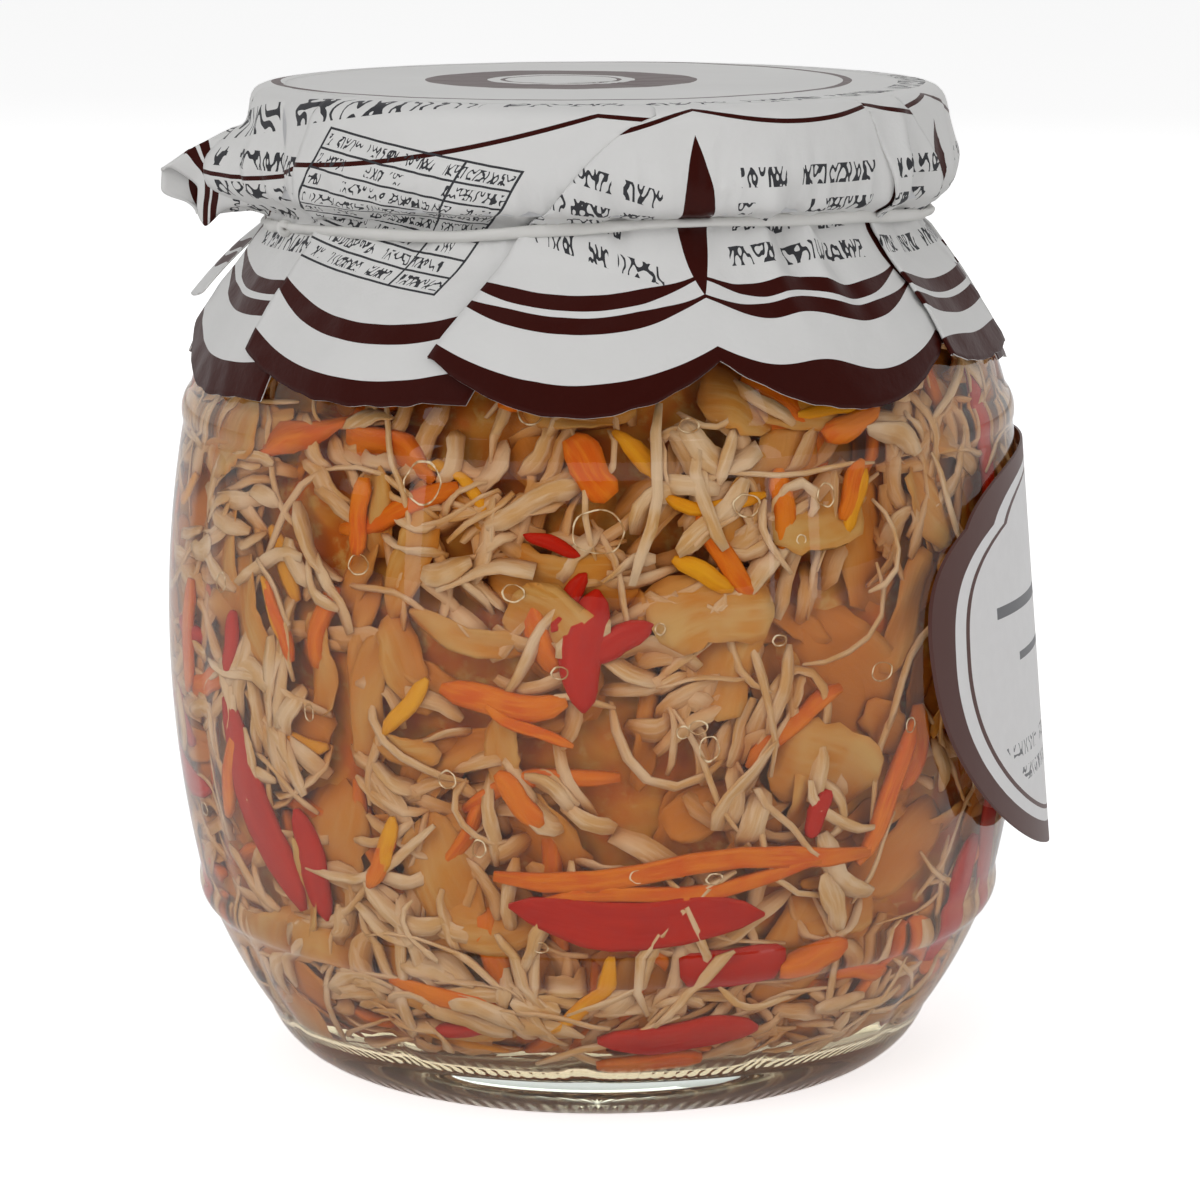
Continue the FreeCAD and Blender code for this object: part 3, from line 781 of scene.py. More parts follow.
def pepper_cuts():
    """Red pepper: the pieces that show at the front, then the rest round the back."""
    rng = random.Random(31)
    cuts = [
        cut(5.5, 27.6, -3.0, 30.0, 6.4, 1.9, 0.35, curl=0.12, taper=2.0, tip=0.08),
        cut(-1.5, 59.5, 84.0, 14.5, 5.2, 1.9, 1.0, taper=2.2, tip=0.1, curl=-0.2),
        cut(2.6, 60.5, 28.0, 9.0, 3.4, 1.8, 1.2, taper=2.0, tip=0.1),
        cut(-3.8, 65.0, 60.0, 8.0, 2.6, 1.8, 1.3, taper=2.2, tip=0.1),
        cut(-54.0, 37.0, -66.0, 27.0, 6.4, 1.9, 1.0, taper=2.2, tip=0.15),
        cut(-44.0, 31.0, -80.0, 14.0, 4.4, 1.9, 1.4, taper=2.2, tip=0.15),
        cut(31.5, 90.5, -60.0, 7.0, 3.2, 1.8, 0.4, taper=2.2, tip=0.1),
        cut(-40.0, 90.5, 0.0, 7.0, 2.6, 1.8, 0.5),
        cut(13.0, 12.0, 4.0, 19.0, 5.4, 1.9, 0.8, taper=2.2, tip=0.15),
        cut(20.0, 21.0, 2.0, 13.0, 3.6, 1.8, 1.4),
        cut(1.0, 88.5, -2.0, 13.0, 3.0, 1.8, 1.0),
        cut(64.0, 24.0, 76.0, 16.0, 5.0, 1.8, 0.6, taper=2.4),
        cut(-58.0, 56.0, 80.0, 8.0, 2.6, 1.8, 1.0),
        cut(-6.0, 71.5, -20.0, 7.0, 1.8, 1.4, 0.8, taper=2.2, tip=0.1),
        cut(31.0, 39.0, 70.0, 6.0, 2.4, 1.8, 0.8),
        cut(-22.0, 12.0, 20.0, 8.0, 2.6, 1.8, 1.6),
    ]
    for strip in range(75):
        turn, height = random_place(rng)
        if abs(turn) < 66.0:
            continue
        cuts.append(cut(
            turn, height, rng.uniform(-90, 90), rng.uniform(8.0, 26.0), rng.uniform(3.0, 6.5),
            1.8, rng.uniform(0.4, 2.6), curl=rng.gauss(0, 0.3), bow=rng.uniform(-0.2, 0.9),
            roll=rng.gauss(0, 14), taper=2.4, tip=0.2,
        ))
    return cuts


def yellow_cuts():
    """Yellow pepper: a few thin slivers."""
    rng = random.Random(43)
    cuts = [
        cut(37.0, 75.0, 64.0, 8.0, 2.0, 1.2, 0.7),
        cut(-29.5, 35.5, 75.0, 7.0, 2.0, 1.2, 0.6),
        cut(-48.0, 61.0, -60.0, 9.0, 1.7, 1.2, 0.7),
        cut(-26.0, 52.0, 50.0, 9.0, 2.2, 1.2, 1.1),
        cut(14.0, 68.0, -30.0, 8.0, 2.4, 1.2, 1.2),
    ]
    for strip in range(40):
        turn, height = random_place(rng)
        cuts.append(cut(
            turn, height, rng.uniform(-90, 90), rng.uniform(5.0, 13.0), rng.uniform(1.4, 2.6), 1.2,
            rng.uniform(0.9, 3.0), curl=rng.gauss(0, 0.3), tip=0.4,
        ))
    return cuts


def make_bubbles():
    """The rims of small air bubbles that lie flat against the inside of the glass: thin rings with a painted
    highlight and shade.
    """
    rng = random.Random(3)
    known = [
        (0.0, 73.0, 2.7), (-24.0, 78.0, 2.4), (-11.0, 66.0, 1.1), (-5.0, 57.0, 0.8), (8.0, 62.0, 0.6),
        (13.0, 50.5, 0.9), (14.5, 48.0, 1.3), (11.0, 50.0, 0.7), (20.0, 75.5, 1.4), (32.0, 76.0, 1.2),
        (-33.0, 68.0, 1.3), (12.5, 84.5, 1.0), (-16.0, 36.0, 0.9), (5.5, 33.0, 0.9), (-60.0, 63.0, 1.1),
        (-20.0, 44.0, 1.0), (40.0, 55.0, 1.3), (-41.0, 50.0, 0.8), (24.0, 60.0, 0.7), (-8.0, 24.0, 0.8),
    ]
    for number in range(60):
        turn, height = random_place(rng, 14.0, 92.0)
        if abs(turn) > 62.0 or number < 16:
            known.append((turn, height, rng.choice((0.5, 0.6, 0.8, 1.0, 1.3, 1.7))))
    rings = []
    for turn, height, size in known:
        along = np.interp(height, WALL_HEIGHTS, WALL_ALONG)
        place = Vector(on_wall(along, turn + FRONT_TURN, 0.24))
        lean = Vector(on_wall(along, turn + FRONT_TURN, 1.24)) - place
        bpy.ops.object.select_all(action="DESELECT")
        bpy.ops.mesh.primitive_torus_add(
            location=place, rotation=lean.to_track_quat("Z", "Y").to_euler(), major_segments=26,
            minor_segments=6, major_radius=size * MM, minor_radius=0.10 * MM,
        )
        ring = bpy.context.object
        stretch = rng.uniform(0.8, 1.2)
        seed = rng.uniform(0.0, 90.0)
        for vertex in ring.data.vertices:
            uneven = 1.0 + 0.14 * noise.noise(vertex.co / (size * MM) * 1.3 + Vector((seed, 0.0, 0.0)))
            vertex.co.x *= stretch * uneven
            vertex.co.y *= uneven / stretch
        rings.append(ring)
    piece = joined(rings, "bubble_rims")
    bake_place()
    made, bench = material("bubble_rim")
    # Painted highlight and shade: the rings' pale and dark colours stand for the bright outline and dark edge
    # of each bubble.
    glint = bench.noise(object_place(bench), 900.0, 1.0)
    colour = bench.blend(bench.ramp(glint, 0.35, 0.65), (0.42, 0.22, 0.09), (0.86, 0.72, 0.55))
    dress(piece, finish_material(made, bench, shader(bench, colour, 0.2, IOR=1.4)), "salad", "salad")
    return piece


# ---- Paper hood ----

def band_height(turn):
    """Height of the band's middle, given the turn from the front."""
    level = LID_TOP - LID_SKIRT - 3.8
    return level + 2.4 * max(0.0, math.cos(math.radians(turn)))


def drape(turn):
    """Smooth line that the paper follows at one turn: its distances, radii and heights."""
    waist = band_height(turn)
    corners = [
        (0.0, LID_TOP), (LID_RADIUS - 0.6, LID_TOP), (LID_RADIUS + 0.15, LID_TOP - 0.8),
        (LID_RADIUS + 1.05, LID_TOP - 8.4), (LID_RADIUS + 0.15, LID_TOP - LID_SKIRT),
        (NECK_RADIUS + 0.6, waist + 0.75), (NECK_RADIUS + 0.6, waist - 0.75),
    ]
    shoulder = (
        run(SHOULDER_END, SHOULDER_START, 8, bulge=-1.1) + run(SHOULDER_START, BELLY_END, 4, bulge=-0.6)
        + run(BELLY_END, BELLY_START, 20, middle=BELLY)
    )
    for radius, height in shoulder:
        if height + 0.15 < corners[-1][1] and radius + 0.15 > NECK_RADIUS + 0.6:
            corners.append((radius + 0.15, height + 0.15))
    corners = np.array(corners)
    along = np.concatenate(([0.0], np.cumsum(np.linalg.norm(np.diff(corners, axis=0), axis=1))))
    fine = np.arange(0.0, 100.0, 0.25)
    radii = np.interp(fine, along, corners[:, 0])
    heights = np.interp(fine, along, corners[:, 1])
    kernel = np.ones(7) / 7
    for _ in range(2):
        radii[4:-4] = np.convolve(radii, kernel, "same")[4:-4]
        heights[4:-4] = np.convolve(heights, kernel, "same")[4:-4]
    return radii, heights


DRAPES = [drape(turn) for turn in range(-180, 181, 3)]
DRAPE_RADII = np.array([radii for radii, heights in DRAPES])
DRAPE_HEIGHTS = np.array([heights for radii, heights in DRAPES])


def drape_point(turn, distance):
    """Radius and height of the paper at a turn and a distance from its centre."""
    column = ((turn + 180.0) % 360.0) / 3.0
    first = int(column)
    blend = column - first
    row = min(distance / 0.25, DRAPE_RADII.shape[1] - 2)
    step = int(row)
    rest = row - step
    found = []
    for table in (DRAPE_RADII, DRAPE_HEIGHTS):
        low = table[first, step] * (1 - rest) + table[first, step + 1] * rest
        high = table[first + 1, step] * (1 - rest) + table[first + 1, step + 1] * rest
        found.append(low * (1 - blend) + high * blend)
    return found


def petal_phase(panel, turn, share):
    """Where a turn lies among a panel's petals: a whole number at each cusp."""
    first_rim, last_rim, first_hem, last_hem, count = PETALS[panel][:5]
    first = first_rim + (first_hem - first_rim) * share
    last = last_rim + (last_hem - last_rim) * share
    return count * (turn - first) / (last - first)


def hem_distance(panel, phase):
    cusp, low = PETALS[panel][5:]
    across = 2 * abs(phase - round(phase))
    return cusp + (low - cusp) * (1 - (1 - across)**2)


def crease_lift(turn, distance):
    """How far the sharp creases lift the paper at a place."""
    total = 0.0
    for first_turn, first_distance, last_turn, last_distance, height, width in CREASES:
        aside = ((turn - first_turn + 180.0) % 360.0 - 180.0) * 0.75
        run_turn = (last_turn - first_turn) * 0.75
        run_distance = last_distance - first_distance
        length = run_turn**2 + run_distance**2
        share = (aside * run_turn + (distance - first_distance) * run_distance) / length
        held = min(1.0, max(0.0, share))
        apart = math.hypot(aside - held * run_turn, distance - first_distance - held * run_distance)
        if apart < width:
            total += height * (1 - apart / width)**1.3 * (0.25 + 0.75 * math.sin(math.pi * held))
    return total


def crumple(turn, distance, waist):
    """How far creases lift the paper, in millimetres."""
    angle = math.radians(turn)
    place = Vector((math.cos(angle) * 45.0, math.sin(angle) * 45.0, distance))
    below = min(1.0, max(0.0, (distance - 43.0) / 6.0))
    flat_part = 0.25 if distance < 41 else 1.0
    soft = noise.noise(place / 13.0) * 0.55
    crease = (0.5 - abs(noise.noise(place / 6.0))) * 0.45
    near = math.exp(-((distance - waist) / 7.0)**2)
    gather = (0.5 - abs(noise.noise(Vector((turn / 2.6, distance / 22.0, 3.0))))) * 1.3 * near
    fine = noise.noise(place / 2.2) * 0.08
    folds = crease_lift(turn, distance)
    return flat_part * (soft + crease * (0.35 + 0.65 * below) + fine) + gather * below + folds


def ear(turn, height):
    """The root of the corner of paper that was crushed out to the side."""
    aside = abs((turn + 80.0 + 180.0) % 360.0 - 180.0)
    ridge = max(0.0, 1 - aside / 13.0)**1.4
    upright = max(0.0, 1 - ((height - 109.5) / 6.5)**2)
    return 4.5 * ridge * upright


LABEL_HEIGHT = 55.0
LABEL_HALF_WIDTH = 45.7
CREST_HEIGHT = 65.5
PANEL_START = 38.0
FOLD_START = 42.5
TUCK = 6.0
LIP = ((0.0, 0.0), (0.25, -0.35), (-0.3, -0.8), (-1.6, -1.0))


def panel_point(turn, distance, lift, sink):
    radius, height = drape_point(turn, distance)
    waist = 54.0
    puff = crumple(turn, distance, waist)
    flare = 0.9 * max(0.0, (distance - 66.0) / 16.0)**1.5
    share = min(1.0, max(0.0, (distance - FOLD_START) / 12.0))
    out = 0.35 + puff + flare + (lift * share + sink) + ear(turn, height)
    side = min(1.0, max(0.0, (distance - 39.0) / 4.0))
    slope = 1.0 if 58.0 < distance else 0.0
    angle = math.radians(turn + FRONT_TURN)
    radius = radius + out * side * (1 - 0.35 * slope)
    height = height + 0.2 + out * (1 - side) * 0.5 + out * 0.4 * slope
    return Vector((radius * math.cos(angle), radius * math.sin(angle), height)) * MM


def fold_turn(pleat, share):
    return pleat[0] + (pleat[1] - pleat[0]) * share**0.62


def make_panel(number):
    pleat = PLEATS[number]
    following = PLEATS[(number + 1) % len(PLEATS)]
    wrap = 360.0 if number == len(PLEATS) - 1 else 0.0
    top_left = pleat[2] > 0
    top_right = following[2] < 0
    middle = max(6, round((following[1] + wrap - pleat[1] + following[0] + wrap - pleat[0]) / 2 / 0.85))
    extra_left = len(LIP) - 1 if top_left else 5
    extra_right = len(LIP) - 1 if top_right else 5
    columns = extra_left + middle + extra_right
    rows = 62
    places = {}

    def place(across, along):
        column = round(across * columns)
        inside = min(max(column - extra_left, 0), middle) / middle
        beyond_left = max(0, extra_left - column)
        beyond_right = max(0, column - extra_left - middle)
        hem_turn = pleat[1] + (following[1] + wrap - pleat[1]) * inside
        hem = hem_distance(number, petal_phase(number, hem_turn, 1.0))
        hem += 0.35 * noise.noise(Vector((hem_turn / 3.0, 7.0, number)))
        distance = PANEL_START + (hem - PANEL_START) * along
        share = min(1.0, max(0.0, (distance - FOLD_START) / (hem - FOLD_START)))
        begin = fold_turn(pleat, share)
        end = fold_turn(following, share) + wrap
        turn = begin + (end - begin) * inside
        lift = max(0.0, 1 - inside * 2.0)**2 * top_left + max(0.0, inside * 2.0 - 1)**2 * top_right
        sink = 0.0
        opened = min(1.0, share * 7.0)
        sides = ((beyond_left, top_left, -1, extra_left), (beyond_right, top_right, 1, extra_right))
        for beyond, on_top, way, extra in sides:
            if not beyond:
                continue
            if on_top:
                aside, sink = (value * opened for value in LIP[beyond])
                turn += way * aside
            else:
                turn += way * TUCK * opened * beyond / extra
                sink = -0.25 * opened * beyond / extra
        places[(column, round(along * rows))] = (turn, distance, petal_phase(number, turn, share))
        return panel_point(turn, distance, lift * 1.15, sink)

    piece = wrapped_grid(f"hood_panel_{number}", columns, rows, place)
    order = [divmod(index, columns + 1) for index in range(len(piece.data.vertices))]
    return piece, [places[(column, row)] for row, column in order]


def sheet_maps(piece, values, panel):
    """The paper's own maps: its turn and distance, and its petal phase and distance."""
    mesh = piece.data
    while mesh.uv_layers:
        mesh.uv_layers.remove(mesh.uv_layers[0])
    around = mesh.uv_layers.new(name="around")
    petals = mesh.uv_layers.new(name="petals")
    for loop in mesh.loops:
        turn, distance, phase = values[loop.vertex_index]
        around.data[loop.index].uv = (turn / 100.0, distance / 100.0)
        petals.data[loop.index].uv = (phase, distance / 100.0)
    layer = mesh.attributes.new("panel", "FLOAT", "POINT")
    layer.data.foreach_set("value", [float(panel)] * len(mesh.vertices))


def make_hood():
    pieces = []
    for number in range(len(PLEATS)):
        piece, values = make_panel(number)
        sheet_maps(piece, values, number)
        pieces.append(piece)
    columns = 180
    rows = 20

    def top(across, along):
        turn = across * 360.0 - 180.0
        distance = PANEL_START * (along * 0.999 + 0.001) + 0.2 * along
        return panel_point(turn, distance, 0.0, 0.0)

    pieces.extend(make_ear())
    disc = wrapped_grid("hood_top", columns, rows, top)
    values = []
    for index in range(len(disc.data.vertices)):
        turn = (index % (columns + 1)) / columns * 360.0 - 180.0
        distance = PANEL_START * (index // (columns + 1)) / rows
        values.append((turn, distance, turn / 40.0))
    sheet_maps(disc, values, 20)
    pieces.append(disc)
    hood = joined(pieces, "printed_hood")
    clean(SHEET_MERGE)
    top_faces = [face for face in hood.data.polygons if face.center.z > 0.1195]
    if sum(face.normal.z for face in top_faces) < 0:
        hood.data.flip_normals()
    for slot in ("face", "edge"):
        hood.data.materials.append(bpy.data.materials.new(slot))
    thickness = hood.modifiers.new("paper", "SOLIDIFY")
    thickness.thickness = SHEET * MM
    thickness.offset = -1.0
    thickness.material_offset_rim = 1
    bpy.ops.object.modifier_apply(modifier="paper")
    edge_faces = [face.index for face in hood.data.polygons if face.material_index == 1]
    dress(hood, paper_material(), "hood_paper", "paper_hood")
    hood.data.materials.append(cut_paper_material())
    for index in edge_faces:
        hood.data.polygons[index].material_index = 1
    return hood


def make_ear():
    """The rolled corner of a petal that sticks out above the band, and the hem that curls below it."""
    pieces = []

    def rolled(across, along):
        angle = across * math.tau
        reach = 38.5 + 13.4 * along
        middle = 111.0 - 2.2 * along - 0.8 * along**2
        tall = (5.6 - 1.6 * along) * (1 - 0.3 * max(0.0, along - 0.8) / 0.2)
        deep = 0.5 + 4.9 * (1 - along)**1.2
        fold = 0.55 * math.sin(3 * angle + 5.0 * along) + 0.35 * math.sin(5 * angle - 9.0 * along)
        crush = 0.7 * noise.noise(Vector((math.cos(angle) * 1.6, math.sin(angle) * 1.6, along * 3.2)))
        grow = 1.0 + 0.22 * (fold + crush)
        height = middle + tall * math.cos(angle) * grow
        forward = deep * math.sin(angle) * grow + 2.4 * (1 - along)
        ragged = 2.2 * along**4 * (math.cos(angle + math.pi / 2 * (1 - abs(math.cos(angle)))) - 0.4)
        turn = math.radians(EAR_TURN + FRONT_TURN)
        outward = Vector((math.cos(turn), math.sin(turn), 0.0))
        frontward = Vector((-math.sin(turn), math.cos(turn), 0.0))
        return (outward * (reach + ragged) + frontward * forward + Vector((0.0, 0.0, height))) * MM

    def hanging(across, along):
        turn = -101.0 + 12.0 * across + 3.0 * along
        distance = 58.0 + (12.0 + 1.5 * math.sin(math.pi * across)) * along
        radius, height = drape_point(turn, distance)
        out = 1.2 + 2.4 * along + 0.8 * math.sin(across * 5.0)
        angle = math.radians(turn + FRONT_TURN)
        return Vector(((radius + out) * math.cos(angle), (radius + out) * math.sin(angle), height)) * MM

    for name, place, columns, rows, start, end in (
        ("ear", rolled, 56, 26, 50.0, 76.0), ("flap", hanging, 14, 16, 60.0, 77.0),
    ):
        piece = wrapped_grid(name, columns, rows, place)
        values = []
        for index in range(len(piece.data.vertices)):
            across = (index % (columns + 1)) / columns
            along = (index // (columns + 1)) / rows
            phase = 0.5 + 0.25 * math.sin(math.tau * across)
            values.append((-100.0 + 40.0 * across, start + (end - start) * along, phase))
        sheet_maps(piece, values, 12)
        pieces.append(piece)
    return pieces


def make_band():
    """The elastic: a flattened ring that rides over the folds and twists on itself, and its knot."""
    turns = (-180.0, -110.0, -75.0, -53.0, -25.0, -10.0, 8.0, 25.0, 50.0, 75.0, 110.0, 180.0)
    levels = (104.1, 104.0, 103.9, 104.6, 105.3, 106.3, 107.0, 107.0, 106.7, 105.3, 104.2, 104.1)

    def place(across, along):
        turn = along * 360.0 - 180.0
        twist = 0.9 * math.sin(math.radians(turn * 3.0 + 40.0)) + 0.4 * math.sin(math.radians(turn * 7.0))
        ripple = 0.06 * math.sin(math.radians(turn * 31.0))
        height = float(np.interp(turn, turns, levels)) + 0.12 * math.sin(math.radians(turn * 5.0))
        section = (math.cos(across * math.tau) * BAND_DEEP, math.sin(across * math.tau) * BAND_TALL)
        aside = section[0] * math.cos(twist) - section[1] * math.sin(twist)
        up = section[0] * math.sin(twist) + section[1] * math.cos(twist)
        radius = NECK_RADIUS + 2.1 + ripple + 0.5 * abs(noise.noise(Vector((turn / 6.0, 0.0, 9.0)))) + aside
        around = math.radians(turn + FRONT_TURN)
        return Vector((radius * math.cos(around), radius * math.sin(around), height + up)) * MM

    band = wrapped_grid("elastic", 12, 420, place)
    clean(SHEET_MERGE)
    dress(band, band_material(), "band_elastic", "elastic_band")
    around = math.radians(KNOT_TURN + FRONT_TURN)
    middle = Vector((math.cos(around) * 41.0, math.sin(around) * 41.0, 104.3)) * MM
    knots = []
    for lean, size in ((0.5, 1.0), (-0.6, 0.85)):
        bpy.ops.object.select_all(action="DESELECT")
        bpy.ops.mesh.primitive_torus_add(
            location=middle, rotation=(1.2 + lean, lean, around), major_segments=24, minor_segments=10,
            major_radius=0.62 * size * MM, minor_radius=0.45 * size * MM,
        )
        knots.append(bpy.context.object)
    piece = joined(knots, "elastic_knot")
    bake_place()
    dress(piece, band.data.materials[0], "band_elastic", "elastic_band")
    return band


def cut_paper_material():
    """The bare white edge where the paper was cut."""
    made, bench = material("cut_paper")
    fibre = bench.noise(object_place(bench), 1500.0, 3.0, 0.6)
    colour = bench.blend(fibre, (0.62, 0.60, 0.58), (0.80, 0.79, 0.77))
    return finish_material(made, bench, shader(bench, colour, 0.75, bench.bump(fibre, 0.3, 0.0001), IOR=1.4))


# Lines of small meaningless strokes, as printing looks from afar
scribble, bench, given, result = node_group(
    "scribble",
    [(label, "NodeSocketFloat") for label in ("Along", "Row", "Size", "Share")],
    [("Ink", "NodeSocketFloat")],
)
line = bench.math("FLOOR", given["Row"])
within = bench.minus(given["Row"], line)
tall = bench.between(within, 0.24, 0.8)
along = bench.times(given["Along"], given["Size"])
spot = bench.combine(along, bench.times(given["Row"], 2.3), bench.times(line, 5.3))
curl = bench.noise(spot, 1.0, 0.0)
stroke = bench.under(bench.size(bench.minus(curl, 0.5)), given["Share"])
word = bench.combine(bench.times(along, 0.22), bench.times(line, 3.7))
gap = bench.over(bench.noise(word, 1.0, 0.0), 0.4)
bench.feed(result["Ink"], bench.times(stroke, tall, gap))


def strokes(bench, along, row, size, share):
    return bench.group(scribble, Along=along, Row=row, Size=size, Share=share).outputs[0]


def paper_material():
    made, bench = material("printed_paper")
    place = object_place(bench)
    around = bench.add("ShaderNodeUVMap", uv_map="around").outputs[0]
    petals = bench.add("ShaderNodeUVMap", uv_map="petals").outputs[0]
    panel = bench.attribute("panel")
    parts = bench.split(around)
    turn = bench.times(parts[0], 100.0)
    distance = bench.times(parts[1], 100.0)
    phase = bench.split(petals)[0]
    offset = bench.size(bench.minus(phase, bench.math("ROUND", phase)))
    across = bench.times(offset, 2.0)
    rise = bench.minus(1.0, bench.power(bench.minus(1.0, across), 2.0))
    table_panel = bench.between(panel, TABLE_PANEL - 0.5, TABLE_PANEL + 0.5)
    plain_panel = bench.minus(1.0, table_panel)
    side = bench.over(distance, 43.0)
    near = bench.ratio(bench.minus(turn, 33.0), 6.5)
    gathered = bench.math("EXPONENT", bench.times(near, near, -1.0))
    outward = bench.ramp(distance, 56.0, 64.0, 0.0, 2.2)
    printed = bench.plus(distance, bench.times(gathered, outward, bench.between(panel, 1.5, 2.5)))

    angle = bench.math("RADIANS", turn)
    right = bench.plus(bench.times(bench.math("SINE", angle), distance), 4.5)
    nearer = bench.plus(bench.times(bench.math("COSINE", angle), distance), 5.0)
    shifted = bench.math("SQRT", bench.plus(bench.times(right, right), bench.times(nearer, nearer)))

    def arc_band(cusp, centre, half):
        line = bench.plus(bench.times(rise, centre - cusp), cusp)
        width = bench.times(bench.ramp(across, 0.0, 0.55, 0.25, 1.0), half)
        return bench.under(bench.size(bench.minus(printed, line)), width)

    low_start = bench.ramp(table_panel, 0.0, 1.0, 73.4, 69.0)
    low_rise = bench.ramp(table_panel, 0.0, 1.0, 4.6, 9.3)
    border_line = bench.plus(bench.times(rise, low_rise), low_start)
    strip = bench.times(bench.between(panel, 2.5, 3.5), bench.ramp(rise, 0.3, 1.0, 0.0, 3.2))
    border_line = bench.minus(border_line, strip)
    arcs = bench.times(bench.most(arc_band(64.3, 68.0, 1.0), arc_band(67.0, 70.9, 1.05)), plain_panel)
    lone_arc = bench.times(arc_band(61.6, 72.6, 1.25), table_panel)
    lens = bench.ratio(bench.minus(distance, 44.6), 22.4)
    bow = bench.times(lens, bench.minus(1.0, lens), 0.28)
    spindle = bench.times(bench.under(offset, bow), plain_panel, side)
    rings = [bench.between(shifted, low, high) for low, high in ((34.4, 35.5), (9.0, 16.6), (6.8, 7.4))]
    scallop = bench.plus(bench.times(rise, 2.6), 47.4)
    hairline = bench.under(bench.size(bench.minus(shifted, scallop)), 0.28)
    brown = bench.most(bench.over(printed, border_line), arcs, lone_arc, spindle, *rings, hairline)

    lettered = strokes(bench, turn, bench.ratio(bench.minus(shifted, 39.6), 6.2), 0.42, 0.065)
    lettered = bench.times(lettered, bench.between(shifted, 39.6, 45.7))
    tilt = bench.times(bench.between(panel, 1.5, 2.5), bench.under(turn, 17.0))
    lean = bench.times(turn, -0.26, tilt)
    rows = bench.ratio(bench.minus(bench.plus(distance, lean), 47.4), 4.1)
    small = strokes(bench, turn, rows, 0.95, 0.075)
    small = bench.times(small, bench.between(rows, 0.0, 4.0), bench.over(offset, 0.15), plain_panel)
    from_turn = bench.plus(turn, 45.5)
    from_distance = bench.minus(distance, 44.6)
    table_across = bench.plus(bench.times(from_turn, 0.0269), bench.times(from_distance, 0.0205))
    table_down = bench.minus(bench.times(from_distance, 0.0498), bench.times(from_turn, 0.006))
    rows = bench.times(table_down, 8.0)
    rules = [bench.under(bench.size(bench.minus(rows, bench.math("ROUND", rows))), 0.055)]
    rules += [bench.under(bench.size(bench.minus(table_across, edge)), 0.006) for edge in (0.0, 0.74, 1.0)]
    entry = strokes(bench, bench.times(table_across, 40.0), rows, 1.15, 0.065)
    entry = bench.times(entry, bench.over(table_across, 0.02))
    table = bench.times(
        bench.most(*rules, entry), bench.between(table_across, -0.006, 1.006),
        bench.between(table_down, -0.007, 1.007), table_panel,
    )
    ink = bench.most(lettered, small, table)

    fibre = bench.noise(place, 900.0, 3.0, 0.6)
    cloud = bench.noise(place, 60.0, 2.0, 0.5)
    paper = bench.blend(cloud, (0.66, 0.655, 0.645), (0.73, 0.725, 0.715))
    colour = bench.blend(brown, paper, (0.040, 0.004, 0.002))
    colour = bench.blend(ink, colour, (0.045, 0.045, 0.05))
    rough = bench.ramp(brown, 0.0, 1.0, 0.5, 0.36)
    crinkle = bench.noise(place, 260.0, 4.0, 0.6)
    normal = bench.bump(bench.plus(crinkle, bench.times(fibre, 0.12)), 0.35, 0.0004)
    surface = shader(bench, colour, rough, normal, IOR=1.45, Specular_IOR_Level=0.15)
    return finish_material(made, bench, surface)


# ---- Lid, band and label: the solids of the lid and label stay ----

def steel_material():
    made, bench = material("lacquered_steel")
    place = object_place(bench)
    brushed = bench.noise(place, 700.0, 3.0, 0.6)
    colour = bench.blend(brushed, (0.55, 0.55, 0.56), (0.68, 0.68, 0.69))
    rough = bench.ramp(brushed, 0.3, 0.7, 0.28, 0.4)
    surface = shader(bench, colour, rough, bench.bump(brushed, 0.1, 0.0001), Metallic=1.0)
    return finish_material(made, bench, surface)


def band_material():
    made, bench = material("elastic")
    place = object_place(bench)
    rub = bench.noise(place, 1400.0, 2.0, 0.6)
    soil = bench.noise(place, 120.0, 2.0, 0.5)
    colour = bench.blend(soil, (0.62, 0.61, 0.58), (0.74, 0.73, 0.71))
    return finish_material(made, bench, shader(bench, colour, 0.6, bench.bump(rub, 0.3, 0.0001), IOR=1.5))


